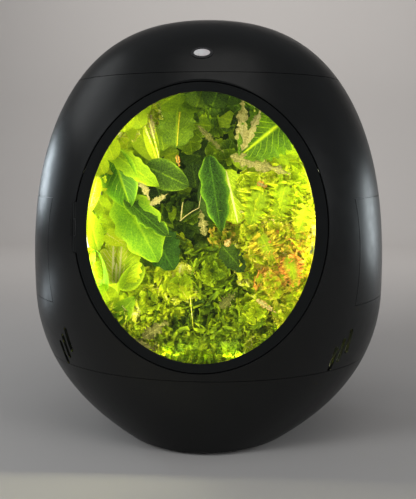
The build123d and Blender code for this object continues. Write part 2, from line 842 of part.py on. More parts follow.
# ---- grow wall: a U-shaped panel with a tilted socket for each pot ----
pot_seats = []
for row in range(pot_rows):
    for angle in column_angles:
        across, behind = cos(radians(angle)), sin(radians(angle))
        on_wall = (grow_half_width * across, grow_half_depth * behind, pot_row_first + row * pot_row_pitch)
        inward = Vector(-across / grow_half_width, -behind / grow_half_depth, 0).normalized()
        axis = inward * cos(radians(pot_tilt)) + Vector(0, 0, sin(radians(pot_tilt)))
        sideways = inward.cross(Vector(0, 0, 1))
        pot_seats.append(Plane(origin=on_wall, x_dir=sideways, z_dir=axis))


def grow_outline(offset):
    """Plan of the grow wall's face, moved outwards by offset: half an ellipse behind, wings in front."""
    with BuildSketch() as plan:
        Ellipse(grow_half_width + offset, grow_half_depth + offset)
        with Locations((0, -huge / 2)):
            Rectangle(huge, huge, mode=Mode.SUBTRACT)
        with Locations((0, -grow_wing / 2)):
            Rectangle(2 * (grow_half_width + offset), grow_wing)
    return plan.sketch


wall_height = shelf_top - shelf_thickness - soft_clearance - deck_top
tube_radius = pot_radius + pot_clearance + socket_wall
with BuildPart() as grow_wall:
    for seat in pot_seats:
        with BuildSketch(seat.offset(-tube_radius)):
            Circle(tube_radius)
        extrude(amount=tube_radius + socket_reach)
    with BuildSketch(Plane.XY.offset(deck_top)):
        add(grow_outline(grow_wall_thickness / 2))
    extrude(amount=wall_height, mode=Mode.INTERSECT)
    with BuildSketch(Plane.XY.offset(deck_top)):
        add(grow_outline(grow_wall_thickness))
        add(grow_outline(0), mode=Mode.SUBTRACT)
    extrude(amount=wall_height)
    for seat in pot_seats:
        with BuildSketch(seat.offset(-2 * tube_radius)):
            Circle(pot_radius + pot_clearance)
        extrude(amount=2 * tube_radius + socket_reach, mode=Mode.SUBTRACT)
grow_wall.part.label = "grow_wall"
grow_wall.part.position = to_origin
export_step(grow_wall.part, "parts/grow_wall.step")

# ---- net pots, their plugs, and the plants' leaves as closed solids ----
flange_radius = pot_radius + pot_flange
pot_top = socket_reach + pot_flange_thickness
for number, seat in enumerate(pot_seats, start=1):
    with BuildPart() as net_pot:
        with BuildSketch(seat.offset(socket_reach)):
            Circle(flange_radius)
        extrude(amount=pot_flange_thickness)
        with BuildSketch(seat.offset(socket_reach - pot_depth)):
            Circle(pot_tail_radius)
        with BuildSketch(seat.offset(socket_reach)):
            Circle(pot_radius)
        loft()
        with BuildSketch(seat.offset(socket_reach - pot_depth + pot_wall)):
            Circle(pot_tail_radius - pot_wall)
        with BuildSketch(seat.offset(pot_top)):
            Circle(pot_radius - pot_wall)
        loft(mode=Mode.SUBTRACT)
        for turn in range(pot_slots):
            spoke = Plane(origin=seat.origin, x_dir=seat.x_dir, z_dir=seat.z_dir)
            spoke = spoke.rotated((0, 0, turn * 360 / pot_slots)).offset(socket_reach - pot_depth / 2)
            with BuildSketch(Plane(origin=spoke.origin, x_dir=spoke.z_dir, z_dir=spoke.x_dir)):
                Rectangle(pot_slot_length, pot_slot_width)
            extrude(amount=flange_radius, mode=Mode.SUBTRACT)
    net_pot.part.label = f"net_pot_{number}"
    net_pot.part.position = to_origin
    export_step(net_pot.part, f"parts/net_pot_{number}.step")

with BuildPart() as grow_plugs:
    for seat in pot_seats:
        with BuildSketch(seat.offset(pot_top - plug_recess - plug_depth)):
            Circle(plug_radius)
        extrude(amount=plug_depth)
grow_plugs.part.label = "grow_plugs"
grow_plugs.part.position = to_origin
export_step(grow_plugs.part, "parts/grow_plugs.step")

row_tall = (plant_high - plant_low + plant_gap) / pot_rows - plant_gap
column_wide = (2 * plant_half_width + plant_gap) / pot_columns - plant_gap
for number, seat in enumerate(pot_seats, start=1):
    row, column = divmod(number - 1, pot_columns)
    low = plant_low + row * (row_tall + plant_gap)
    centre_x = (column - (pot_columns - 1) / 2) * -(column_wide + plant_gap)
    rear = plant_rear_middle if abs(centre_x) < column_wide / 2 else plant_rear_side
    with BuildPart() as leaves:
        with BuildSketch(Plane.XY.offset(low)):
            with Locations((centre_x, rear - plant_long / 2)):
                RectangleRounded(column_wide, plant_long, plant_round)
        extrude(amount=row_tall)
        fillet(leaves.edges().group_by(Axis.Z)[0] + leaves.edges().group_by(Axis.Z)[-1], plant_round / 2)
        add(cut_face(plant_front_gap), mode=Mode.SUBTRACT)
        add(room(plant_wall_gap), mode=Mode.INTERSECT)
        with BuildSketch(seat.offset(pot_top - plug_recess + soft_clearance)):
            Circle(stalk_radius)
        extrude(amount=stalk_length)
    leaves.part.label = f"plant_{number}"
    leaves.part.position = to_origin
    export_step(leaves.part, f"parts/plant_{number}.step")

# ---- upright light bars on the grow wall's front edges ----
bar_y = -grow_wing - light_bar_depth / 2
for side, hand in ((-1, "left"), (1, "right")):
    bar_x = side * (grow_half_width + grow_wall_thickness - light_bar_width / 2)
    inner_side = bar_x - side * light_bar_width / 2
    strip = Plane(origin=(inner_side, bar_y, 0), x_dir=(0, -side, 0), z_dir=(-side, 0, 0))
    with BuildPart() as light_bar:
        with BuildSketch(Plane.XY.offset(light_bar_low)):
            with Locations((bar_x, bar_y)):
                RectangleRounded(light_bar_width, light_bar_depth, light_bar_corner)
        extrude(amount=light_bar_high - light_bar_low)
        with BuildSketch(strip.offset(-led_pocket)):
            with Locations((0, (light_bar_low + light_bar_high) / 2)):
                Rectangle(light_bar_depth / 3, light_bar_high - light_bar_low - light_bar_width)
        extrude(amount=led_pocket, mode=Mode.SUBTRACT)
        with BuildSketch(strip.offset(-led_pocket)):
            with Locations((0, (light_bar_low + light_bar_high) / 2)):
                with GridLocations(0, bar_led_pitch, 1, bar_leds):
                    Rectangle(led_size, led_size)
        extrude(amount=led_thickness)
    light_bar.part.label = f"light_bar_{hand}"
    light_bar.part.position = to_origin
    export_step(light_bar.part, f"parts/light_bar_{hand}.step")

# ---- ceiling plate, LED board and diffuser tray under it ----
with BuildPart() as ceiling_plate:
    add(slice_of(room(deck_margin), ceiling_height, ceiling_height + ceiling_thickness))
    with BuildSketch(Plane.XY.offset(ceiling_height)):
        with Locations((0, fan_y)):
            Circle(fan_radius)
    extrude(amount=ceiling_thickness, mode=Mode.SUBTRACT)
ceiling_plate.part.label = "ceiling_plate"
ceiling_plate.part.position = to_origin
export_step(ceiling_plate.part, "parts/ceiling_plate.step")

with BuildPart() as led_tray:
    with BuildSketch(Plane.XY.offset(ceiling_height - tray_height)):
        with Locations((0, tray_y)):
            Ellipse(tray_half_width, tray_half_depth)
    extrude(amount=tray_height)
    with BuildSketch(Plane.XY.offset(ceiling_height - tray_height + tray_wall)):
        with Locations((0, tray_y)):
            Ellipse(tray_half_width - tray_wall, tray_half_depth - tray_wall)
    extrude(amount=tray_height, mode=Mode.SUBTRACT)
led_tray.part.label = "led_tray"
led_tray.part.position = to_origin
export_step(led_tray.part, "parts/led_tray.step")

with BuildPart() as led_board:
    with BuildSketch(Plane.XY.offset(ceiling_height - board_thickness)):
        with Locations((0, tray_y)):
            Ellipse(tray_half_width - tray_wall - board_margin, tray_half_depth - tray_wall - board_margin)
    extrude(amount=board_thickness)
    with BuildSketch(Plane.XY.offset(ceiling_height - board_thickness - led_thickness)):
        with Locations((0, tray_y)):
            with GridLocations(board_led_pitch, board_led_pitch, board_led_columns, board_led_rows):
                Rectangle(led_size, led_size)
    extrude(amount=led_thickness)
led_board.part.label = "led_board"
led_board.part.position = to_origin
export_step(led_board.part, "parts/led_board.step")

# ---- exhaust fan over the ceiling plate's hole ----
fan_floor = ceiling_height + ceiling_thickness
fan_top = fan_floor + fan_depth
with BuildPart() as fan_frame:
    with BuildSketch(Plane.XY.offset(fan_floor)):
        with Locations((0, fan_y)):
            RectangleRounded(fan_size, fan_size, fan_corner)
            Circle(fan_radius + fan_tip_gap, mode=Mode.SUBTRACT)
    extrude(amount=fan_depth)
    with BuildSketch(Plane.XY.offset(fan_top - fan_spider)):
        with Locations((0, fan_y)):
            Circle(fan_hub_radius)
            with PolarLocations(fan_radius / 2, 4):
                Rectangle(fan_radius + fan_spider, fan_spider)
    extrude(amount=fan_spider)
    with BuildSketch(Plane.XY.offset(fan_floor + fan_spider)):
        with Locations((0, fan_y)):
            Circle(fan_shaft_radius)
    extrude(amount=fan_depth - 2 * fan_spider)
fan_frame.part.label = "fan_frame"
fan_frame.part.position = to_origin
export_step(fan_frame.part, "parts/fan_frame.step")

blade_low = fan_floor + fan_spider
blade_high = fan_top - 2 * fan_spider
with BuildPart() as fan_rotor:
    with BuildSketch(Plane.XY.offset(blade_low)):
        with Locations((0, fan_y)):
            Circle(fan_hub_radius)
    extrude(amount=blade_high - blade_low)
    for blade in range(fan_blades):
        blade_turn = Plane(origin=(0, fan_y, (blade_low + blade_high) / 2)).rotated(
            (0, 0, blade * 360 / fan_blades)
        )
        pitched = Plane(
            origin=blade_turn.origin,
            x_dir=blade_turn.y_dir * cos(radians(fan_pitch)) + blade_turn.z_dir * sin(radians(fan_pitch)),
            z_dir=blade_turn.x_dir,
        )
        with BuildSketch(pitched):
            Rectangle(fan_chord, fan_blade_thickness)
        extrude(amount=fan_radius - fan_tip_gap)
    with BuildSketch(Plane.XY.offset(blade_low)):
        with Locations((0, fan_y)):
            Circle(fan_shaft_radius + running_clearance)
    extrude(amount=blade_high - blade_low, mode=Mode.SUBTRACT)
fan_rotor.part.label = "fan_rotor"
fan_rotor.part.position = to_origin
export_step(fan_rotor.part, "parts/fan_rotor.step")

# ---- control board on four standoffs ----
with BuildPart() as control_board:
    with BuildSketch(Plane.XY.offset(fan_floor)):
        with Locations((control_x, control_y)):
            with GridLocations(control_width - control_inset, control_depth - control_inset, 2, 2):
                Circle(standoff_radius)
    extrude(amount=standoff_height)
    with BuildSketch(Plane.XY.offset(fan_floor + standoff_height)):
        with Locations((control_x, control_y)):
            Rectangle(control_width, control_depth)
    extrude(amount=board_thickness)
    with BuildSketch(Plane.XY.offset(fan_floor + standoff_height + board_thickness)):
        with Locations((control_x, control_y)):
            with GridLocations(control_chip_pitch, 0, 3, 1):
                Rectangle(control_chip, control_chip)
    extrude(amount=standoff_height)
control_board.part.label = "control_board"
control_board.part.position = to_origin
export_step(control_board.part, "parts/control_board.step")

# ---- top cap, with the button's seat in front and exhaust slots behind ----
button_slope = (half_depth(button_height - 1) - half_depth(button_height + 1)) / 2
button_face = Plane(
    origin=(0, -half_depth(button_height), button_height), x_dir=(1, 0, 0), z_dir=(0, -1, button_slope)
)
sleeve_wall_x = button_half_width + running_clearance + bezel_width
sleeve_wall_y = button_half_height + running_clearance + bezel_width
cap_top = cabinet_height + shell_wall
with BuildPart() as top_cap:
    add(slice_of(shell, cap_seam + seam_gap / 2, cap_top))
    with BuildSketch(button_face.offset(-bezel_sink)):
        Ellipse(sleeve_wall_x + bezel_width + soft_clearance, sleeve_wall_y + bezel_width + soft_clearance)
    extrude(amount=sleeve_depth, mode=Mode.SUBTRACT)
    with BuildSketch(button_face.offset(-sleeve_depth)):
        Ellipse(sleeve_wall_x + soft_clearance, sleeve_wall_y + soft_clearance)
    extrude(amount=sleeve_depth, mode=Mode.SUBTRACT)
    with BuildSketch(Plane(origin=(0, fan_y, exhaust_height), x_dir=(0, 0, 1), z_dir=(0, 1, 0))):
        with GridLocations(0, exhaust_pitch, 1, exhaust_slots):
            SlotOverall(exhaust_length, exhaust_width)
    extrude(amount=half_width_max, mode=Mode.SUBTRACT)
top_cap.part.label = "top_cap"
top_cap.part.position = to_origin
export_step(top_cap.part, "parts/top_cap.step")

# ---- status button in its bezel, over a tact switch ----
with BuildPart() as button_bezel:
    with BuildSketch(button_face.offset(-sleeve_depth)):
        Ellipse(sleeve_wall_x, sleeve_wall_y)
    extrude(amount=sleeve_depth)
    with BuildSketch(button_face.offset(-bezel_sink)):
        Ellipse(sleeve_wall_x + bezel_width, sleeve_wall_y + bezel_width)
    extrude(amount=bezel_sink + bezel_proud)
    with BuildSketch(button_face.offset(bezel_width - sleeve_depth)):
        Ellipse(button_half_width + running_clearance, button_half_height + running_clearance)
    extrude(amount=2 * sleeve_depth, mode=Mode.SUBTRACT)
button_bezel.part.label = "button_bezel"
button_bezel.part.position = to_origin
export_step(button_bezel.part, "parts/button_bezel.step")

button_top = bezel_proud + button_proud
stem_end = button_top - button_cap_depth - button_stem
with BuildPart() as status_button:
    with BuildSketch(button_face.offset(button_top - button_cap_depth)):
        Ellipse(button_half_width, button_half_height)
    extrude(amount=button_cap_depth)
    press_axis = Axis(button_face.origin, button_face.z_dir)
    fillet(status_button.faces().sort_by(press_axis)[-1].edges(), button_round)
    with BuildSketch(button_face.offset(stem_end)):
        Circle(button_stem_radius)
    extrude(amount=button_stem)
status_button.part.label = "status_button"
status_button.part.position = to_origin
export_step(status_button.part, "parts/status_button.step")

with BuildPart() as tact_switch:
    with BuildSketch(button_face.offset(bezel_width - sleeve_depth)):
        Rectangle(switch_width, switch_tall)
    extrude(amount=stem_end - button_travel - running_clearance - bezel_width + sleeve_depth)
tact_switch.part.label = "tact_switch"
tact_switch.part.position = to_origin
export_step(tact_switch.part, "parts/tact_switch.step")
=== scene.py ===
import math

import bpy
import numpy as np
from mathutils import Euler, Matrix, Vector


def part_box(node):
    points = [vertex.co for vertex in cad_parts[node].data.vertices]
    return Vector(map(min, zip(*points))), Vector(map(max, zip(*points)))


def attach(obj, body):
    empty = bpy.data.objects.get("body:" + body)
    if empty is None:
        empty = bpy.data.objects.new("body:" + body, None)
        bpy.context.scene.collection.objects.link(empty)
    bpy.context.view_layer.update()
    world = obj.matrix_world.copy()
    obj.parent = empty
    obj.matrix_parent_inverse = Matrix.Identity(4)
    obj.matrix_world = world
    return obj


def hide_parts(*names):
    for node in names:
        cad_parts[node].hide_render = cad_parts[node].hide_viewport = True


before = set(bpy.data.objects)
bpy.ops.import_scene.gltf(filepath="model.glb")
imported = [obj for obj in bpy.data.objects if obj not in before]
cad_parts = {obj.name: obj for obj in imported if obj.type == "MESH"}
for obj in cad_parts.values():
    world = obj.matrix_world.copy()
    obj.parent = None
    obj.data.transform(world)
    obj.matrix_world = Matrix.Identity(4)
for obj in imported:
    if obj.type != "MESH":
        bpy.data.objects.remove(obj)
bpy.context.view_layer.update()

# ---------------------------------------------------------------- camera
IMAGE_W, IMAGE_H = 416, 499
FOCAL_PX = 726.0
SENSOR_MM = 36.0
CAM_AZIMUTH = math.radians(3.4)
CAM_DISTANCE = 1.234         # from the egg's axis
CAM_HEIGHT = 0.454
CAM_PITCH = math.radians(-7.3)
AXIS_Y = -0.0189             # the egg's upright axis, in front of the footprint's centre

cam_data = bpy.data.cameras.new("camera")
camera = bpy.data.objects.new("camera", cam_data)
bpy.context.scene.collection.objects.link(camera)
camera.location = (
    CAM_DISTANCE * math.sin(CAM_AZIMUTH),
    AXIS_Y - CAM_DISTANCE * math.cos(CAM_AZIMUTH),
    CAM_HEIGHT,
)
camera.rotation_euler = (math.pi / 2 + CAM_PITCH, 0, CAM_AZIMUTH)
cam_data.sensor_width = SENSOR_MM
cam_data.lens = FOCAL_PX / IMAGE_H * SENSOR_MM
bpy.context.scene.camera = camera
CAM_TURN = Euler(camera.rotation_euler).to_matrix()

# ---------------------------------------------------------------- door face
FACE_DISTANCE = 0.196        # the egg's axis to the face, at the window's centre
WINDOW_HEIGHT = 0.352
FACE_LEAN = math.radians(6.28)
FACE_ORIGIN = Vector((0, AXIS_Y - FACE_DISTANCE, WINDOW_HEIGHT))
FACE_OUT = Vector((0, -math.cos(FACE_LEAN), math.sin(FACE_LEAN)))


def spot(px, py, depth):
    """Point seen at an image position, at a depth in millimetres behind the door face."""
    ray = CAM_TURN @ Vector(((px - IMAGE_W / 2) / FOCAL_PX, (IMAGE_H / 2 - py) / FOCAL_PX, -1))
    start = Vector(camera.location)
    reach = (-depth / 1000 - (start - FACE_ORIGIN).dot(FACE_OUT)) / ray.dot(FACE_OUT)
    return np.array(start + reach * ray)


# ---------------------------------------------------------------- materials
def nodes_of(name):
    """New material with its tree, its shader and its output."""
    mat = bpy.data.materials.new(name)
    mat.use_nodes = True
    tree = mat.node_tree
    tree.nodes.clear()
    out = tree.nodes.new("ShaderNodeOutputMaterial")
    shader = tree.nodes.new("ShaderNodeBsdfPrincipled")
    tree.links.new(shader.outputs[0], out.inputs[0])
    return mat, tree, shader, out


def add_node(tree, kind, **settings):
    node = tree.nodes.new(kind)
    for key, value in settings.items():
        setattr(node, key, value)
    return node


def math_node(tree, operation, first, second=None, clamp=False):
    node = add_node(tree, "ShaderNodeMath", operation=operation, use_clamp=clamp)
    for socket, value in zip(node.inputs, (first, second)):
        if value is None:
            continue
        if isinstance(value, (int, float)):
            socket.default_value = value
        else:
            tree.links.new(value, socket)
    return node.outputs[0]


def noise(tree, vector, scale, detail=3.0, rough=0.55):
    node = add_node(tree, "ShaderNodeTexNoise")
    node.inputs["Scale"].default_value = scale
    node.inputs["Detail"].default_value = detail
    node.inputs["Roughness"].default_value = rough
    tree.links.new(vector, node.inputs["Vector"])
    return node.outputs["Fac"]


def ramp(tree, fac, stops):
    node = add_node(tree, "ShaderNodeValToRGB")
    band = node.color_ramp
    band.elements[0].position, band.elements[0].color = stops[0][0], (*stops[0][1], 1)
    band.elements[1].position, band.elements[1].color = stops[-1][0], (*stops[-1][1], 1)
    for place, color in stops[1:-1]:
        band.elements.new(place).color = (*color, 1)
    tree.links.new(fac, node.inputs[0])
    return node.outputs[0]


def remap(tree, value, low, high, to_low, to_high):
    node = add_node(tree, "ShaderNodeMapRange")
    for socket, number in zip(node.inputs[1:5], (low, high, to_low, to_high)):
        socket.default_value = number
    tree.links.new(value, node.inputs[0])
    return node.outputs[0]


def bump(tree, shader, height, strength, distance):
    node = add_node(tree, "ShaderNodeBump")
    node.inputs["Strength"].default_value = strength
    node.inputs["Distance"].default_value = distance
    tree.links.new(height, node.inputs["Height"])
    tree.links.new(node.outputs[0], shader.inputs["Normal"])


def plastic(name, dark, light, rough, spread, grain, depth, specular=0.5, metallic=0.0, cloud=9.0):
    """Moulded surface: two close colours in soft clouds, uneven roughness and a fine grain.

    spread is the roughness to either side of rough, grain and cloud are noise scales, and depth is the
    grain's relief in metres.
    """
    mat, tree, shader, _ = nodes_of(name)
    where = add_node(tree, "ShaderNodeTexCoord").outputs["Object"]
    clouds = noise(tree, where, cloud, 4.0)
    tree.links.new(ramp(tree, clouds, [(0.35, dark), (0.65, light)]), shader.inputs["Base Color"])
    wear = noise(tree, where, cloud * 5, 5.0, 0.65)
    tree.links.new(remap(tree, wear, 0.3, 0.7, rough - spread, rough + spread), shader.inputs["Roughness"])
    shader.inputs["Specular IOR Level"].default_value = specular
    shader.inputs["Metallic"].default_value = metallic
    bump(tree, shader, noise(tree, where, grain, 2.0), 0.35, depth)
    return mat


def brushed(name, dark, light, rough):
    """Metal drawn along its length: stretched noise for the colour, the roughness and the relief."""
    mat, tree, shader, _ = nodes_of(name)
    where = add_node(tree, "ShaderNodeTexCoord").outputs["Object"]
    stretch = add_node(tree, "ShaderNodeMapping")
    stretch.inputs["Scale"].default_value = (900, 900, 40)
    tree.links.new(where, stretch.inputs["Vector"])
    lines = noise(tree, stretch.outputs[0], 1.0, 3.0)
    tree.links.new(ramp(tree, lines, [(0.3, dark), (0.7, light)]), shader.inputs["Base Color"])
    tree.links.new(remap(tree, lines, 0.3, 0.7, rough - 0.08, rough + 0.08), shader.inputs["Roughness"])
    shader.inputs["Metallic"].default_value = 1.0
    bump(tree, shader, lines, 0.3, 0.00003)
    return mat


def pane_material():
    """Clear pane that lets lamp light through, with faint smears in its gloss."""
    mat, tree, shader, out = nodes_of("pane")
    where = add_node(tree, "ShaderNodeTexCoord").outputs["Object"]
    smear = noise(tree, where, 14.0, 5.0, 0.7)
    tree.links.new(remap(tree, smear, 0.55, 0.8, 0.0, 0.03), shader.inputs["Roughness"])
    tint = ramp(tree, noise(tree, where, 3.0), [(0.3, (0.97, 0.99, 0.98)), (0.7, (0.985, 1.0, 0.99))])
    tree.links.new(tint, shader.inputs["Base Color"])
    shader.inputs["Transmission Weight"].default_value = 1.0
    shader.inputs["IOR"].default_value = 1.3
    clear = add_node(tree, "ShaderNodeBsdfTransparent")
    path = add_node(tree, "ShaderNodeLightPath")
    mix = add_node(tree, "ShaderNodeMixShader")
    tree.links.new(path.outputs["Is Shadow Ray"], mix.inputs[0])
    tree.links.new(shader.outputs[0], mix.inputs[1])
    tree.links.new(clear.outputs[0], mix.inputs[2])
    tree.links.new(mix.outputs[0], out.inputs[0])
    return mat


def lamp_material(name, housing, glow, strength, mask):
    """Housing whose lamp window, where mask is 1, is lit."""
    mat, tree, shader, _ = nodes_of(name)
    place = add_node(tree, "ShaderNodeNewGeometry").outputs["Position"]
    axes = add_node(tree, "ShaderNodeSeparateXYZ")
    tree.links.new(place, axes.inputs[0])
    lit = mask(tree, axes)
    brighter = tuple(min(1, 1.04 * channel) for channel in housing)
    shade = ramp(tree, noise(tree, place, 20.0), [(0.3, housing), (0.7, brighter)])
    tree.links.new(shade, shader.inputs["Base Color"])
    shader.inputs["Roughness"].default_value = 0.35
    shader.inputs["Emission Color"].default_value = (*glow, 1)
    tree.links.new(math_node(tree, "MULTIPLY", lit, strength), shader.inputs["Emission Strength"])
    bump(tree, shader, noise(tree, place, 700.0, 2.0), 0.3, 0.00004)
    return mat


# leaf colours, from the darkest tone to the palest; the palest cream is the pale ribs' own colour and, where
# the leaf mottle reaches it, painted highlight specks
LEAF_TONES = [
    (0.00, (0.012, 0.030, 0.003)),
    (0.22, (0.060, 0.120, 0.005)),
    (0.45, (0.210, 0.340, 0.006)),
    (0.68, (0.450, 0.600, 0.008)),
    (0.86, (0.680, 0.780, 0.010)),
    (0.94, (0.840, 0.860, 0.030)),
    (1.00, (0.900, 0.850, 0.340)),
]
DRY_TONES = [
    (0.26, (0.050, 0.065, 0.008)),
    (0.44, (0.190, 0.185, 0.040)),
    (0.60, (0.480, 0.410, 0.150)),
    (0.80, (0.700, 0.620, 0.330)),
]
EMERALD = [(0.0, (0.004, 0.026, 0.001)), (0.5, (0.045, 0.200, 0.003)), (1.0, (0.320, 0.560, 0.010))]
RUST = [(0.3, (0.60, 0.17, 0.012)), (0.7, (0.95, 0.54, 0.10))]
LEAF_ATTRIBUTE = "leaf"
VEIN_COUNT = 9.0
VEIN_SLANT = 3.2
VEIN_HALF_WIDTH = 0.11
SIDE_VEIN_SHARE = 0.55       # strength of the side veins beside the midrib's
LEAF_SPECULAR = 0.14
LEAF_TRANSLUCENCY = 0.45


def swing(tree, value, amount):
    """A noise value as a swing about zero."""
    return math_node(tree, "MULTIPLY", math_node(tree, "SUBTRACT", value, 0.5), amount)


def mix_colors(tree, amount, first, second):
    node = add_node(tree, "ShaderNodeMix", data_type="RGBA")
    tree.links.new(amount, node.inputs["Factor"])
    tree.links.new(first, node.inputs[6])
    tree.links.new(second, node.inputs[7])
    return node.outputs[2]


def vein_pattern(tree, where, along, aside):
    """1 on the midrib, less on the slanted side veins, 0 between them."""
    wobble = math_node(tree, "MULTIPLY", noise(tree, where, 90.0, 3.0), 0.5)
    slanted = math_node(tree, "SUBTRACT", math_node(tree, "MULTIPLY", along, VEIN_COUNT),
                        math_node(tree, "MULTIPLY", aside, VEIN_SLANT))
    cell = math_node(tree, "FRACT", math_node(tree, "ADD", slanted, wobble))
    line = math_node(tree, "ABSOLUTE", math_node(tree, "SUBTRACT", cell, 0.5))
    side_vein = remap(tree, line, 0.0, VEIN_HALF_WIDTH, 1.0, 0.0)
    side_vein = math_node(tree, "MULTIPLY", side_vein, remap(tree, aside, 0.5, 1.0, 1.0, 0.0))
    midrib = remap(tree, aside, 0.02, VEIN_HALF_WIDTH, 1.0, 0.0)
    return math_node(tree, "MAXIMUM", midrib, math_node(tree, "MULTIPLY", side_vein, SIDE_VEIN_SHARE))


def leaf_material(name, gloss, vein, relief, tones):
    """Leaf surface: its tone, its veins, rusty or emerald parts, and light passing through it.

    The mesh's colour holds how far along and how far aside a point is, and its tone. Its alpha holds the
    colour's lean: rusty edges above 0, emerald below.
    """
    mat, tree, shader, out = nodes_of(name)
    where = add_node(tree, "ShaderNodeTexCoord").outputs["Object"]
    data = add_node(tree, "ShaderNodeAttribute", attribute_name=LEAF_ATTRIBUTE)
    parts = add_node(tree, "ShaderNodeSeparateColor")
    tree.links.new(data.outputs["Color"], parts.inputs[0])
    along, aside, tone = parts.outputs
    lean = data.outputs["Alpha"]
    veins = vein_pattern(tree, where, along, aside)
    net = noise(tree, where, 420.0, 4.0, 0.6)

    # the fine mottle is the leaf's own pattern, swung so far that its palest specks also stand in for
    # highlights: painted highlight
    shade = math_node(tree, "ADD", tone, swing(tree, net, 0.55))
    shade = math_node(tree, "ADD", shade, swing(tree, noise(tree, where, 36.0), 0.30))
    shade = math_node(tree, "ADD", shade, math_node(tree, "MULTIPLY", veins, vein), clamp=True)
    emerald_share = math_node(tree, "MULTIPLY", lean, -1.0, clamp=True)
    green = mix_colors(tree, emerald_share, ramp(tree, shade, tones), ramp(tree, shade, EMERALD))
    rust_share = math_node(tree, "MULTIPLY", lean, remap(tree, aside, 0.25, 0.95, 0.0, 1.0), clamp=True)
    color = mix_colors(tree, rust_share, green, ramp(tree, net, RUST))

    tree.links.new(color, shader.inputs["Base Color"])
    tree.links.new(remap(tree, net, 0.3, 0.7, gloss - 0.08, gloss + 0.12), shader.inputs["Roughness"])
    shader.inputs["Specular IOR Level"].default_value = LEAF_SPECULAR
    height = math_node(tree, "ADD", math_node(tree, "MULTIPLY", net, 0.5),
                       math_node(tree, "MULTIPLY", veins, -0.7))
    bump(tree, shader, height, 0.6, relief)
    through = add_node(tree, "ShaderNodeBsdfTranslucent")
    tree.links.new(color, through.inputs["Color"])
    mix = add_node(tree, "ShaderNodeMixShader")
    mix.inputs[0].default_value = LEAF_TRANSLUCENCY
    tree.links.new(shader.outputs[0], mix.inputs[1])
    tree.links.new(through.outputs[0], mix.inputs[2])
    tree.links.new(mix.outputs[0], out.inputs[0])
    return mat


LAMP_RECESS = 0.0034         # how far behind the bar's inner face its lamp window may lie
LAMP_MARGIN = 0.0068         # bar beyond the lamp window, at each end


def bar_mask(side):
    """Lamp window of an upright bar: its recessed inner face."""
    low, high = (Vector(corner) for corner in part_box(f"light_bar_{side}"))
    middle = (low.y + high.y) / 2
    half_window = (high.y - low.y) / 6

    def mask(tree, axes):
        across = math_node(tree, "ABSOLUTE", math_node(tree, "SUBTRACT", axes.outputs[1], middle))
        window = math_node(tree, "LESS_THAN", across, half_window)
        if side == "left":
            inner = math_node(tree, "GREATER_THAN", axes.outputs[0], high.x - LAMP_RECESS)
        else:
            inner = math_node(tree, "LESS_THAN", axes.outputs[0], low.x + LAMP_RECESS)
        shut = math_node(tree, "MULTIPLY", window, inner)
        low_end = math_node(tree, "GREATER_THAN", axes.outputs[2], low.z + LAMP_MARGIN)
        high_end = math_node(tree, "LESS_THAN", axes.outputs[2], high.z - LAMP_MARGIN)
        return math_node(tree, "MULTIPLY", shut, math_node(tree, "MULTIPLY", low_end, high_end))

    return mask


def everywhere(tree, axes):
    """Mask of a piece that is lit all over: every point lies above -1 m."""
    return math_node(tree, "GREATER_THAN", axes.outputs[2], -1.0)


def dress(material, *names):
    """Gives the solids of the named nodes one material."""
    for name in names:
        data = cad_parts[name].data
        data.materials.clear()
        data.materials.append(material)


GROW_LIGHT = (1.0, 0.97, 0.60)
SATIN = dict(spread=0.04, grain=1400.0, depth=0.00002, specular=0.30)
dress(plastic("shell_black", (0.0045, 0.0050, 0.0048), (0.0062, 0.0068, 0.0066), rough=0.34, **SATIN),
      "base_shell", "front_shell", "rear_shell", "top_cap")
dress(plastic("panel_black", (0.0048, 0.0053, 0.0051), (0.0065, 0.0071, 0.0069), rough=0.33, **SATIN),
      "side_panel_left", "side_panel_right")
dress(plastic("trim_black", (0.006, 0.007, 0.007), (0.008, 0.009, 0.009),
              rough=0.5, spread=0.06, grain=1200.0, depth=0.00002, specular=0.2),
      "door_frame")
dress(pane_material(), "door_glass")
dress(plastic("rubber", (0.012, 0.012, 0.012), (0.020, 0.020, 0.020),
              rough=0.72, spread=0.08, grain=500.0, depth=0.0001, specular=0.3),
      "door_gasket", "foot_1", "foot_2", "foot_3", "foot_4")
dress(brushed("steel", (0.42, 0.42, 0.43), (0.62, 0.62, 0.63), rough=0.32), "foot_screws", "hinge_pin")
dress(brushed("magnet", (0.60, 0.60, 0.62), (0.74, 0.74, 0.76), rough=0.2), "door_magnets", "strike_magnets")
dress(plastic("tank_grey", (0.22, 0.25, 0.26), (0.28, 0.31, 0.32),
              rough=0.42, spread=0.08, grain=300.0, depth=0.0001),
      "reservoir")
dress(plastic("liner_white", (0.60, 0.64, 0.50), (0.70, 0.73, 0.60),
              rough=0.45, spread=0.08, grain=400.0, depth=0.00008),
      "floor_deck", "grow_wall", "ceiling_plate", "filler_flap")
dress(plastic("pot_black", (0.016, 0.017, 0.016), (0.026, 0.027, 0.026),
              rough=0.55, spread=0.08, grain=500.0, depth=0.0001),
      *[f"net_pot_{number}" for number in range(1, 10)])
dress(plastic("plug_brown", (0.045, 0.026, 0.014), (0.14, 0.085, 0.05),
              rough=0.95, spread=0.04, grain=600.0, depth=0.0012, specular=0.1, cloud=160.0),
      "grow_plugs")
dress(plastic("pump_black", (0.018, 0.019, 0.020), (0.030, 0.031, 0.033),
              rough=0.48, spread=0.08, grain=500.0, depth=0.0001),
      "pump_body", "pump_impeller", "fan_frame", "fan_rotor", "power_inlet", "tact_switch")
dress(plastic("board_green", (0.010, 0.075, 0.030), (0.016, 0.10, 0.042),
              rough=0.4, spread=0.08, grain=260.0, depth=0.0001),
      "control_board")
dress(plastic("tube_clear", (0.55, 0.60, 0.58), (0.66, 0.70, 0.68),
              rough=0.25, spread=0.06, grain=200.0, depth=0.00005),
      "riser_tube", "drip_manifold")
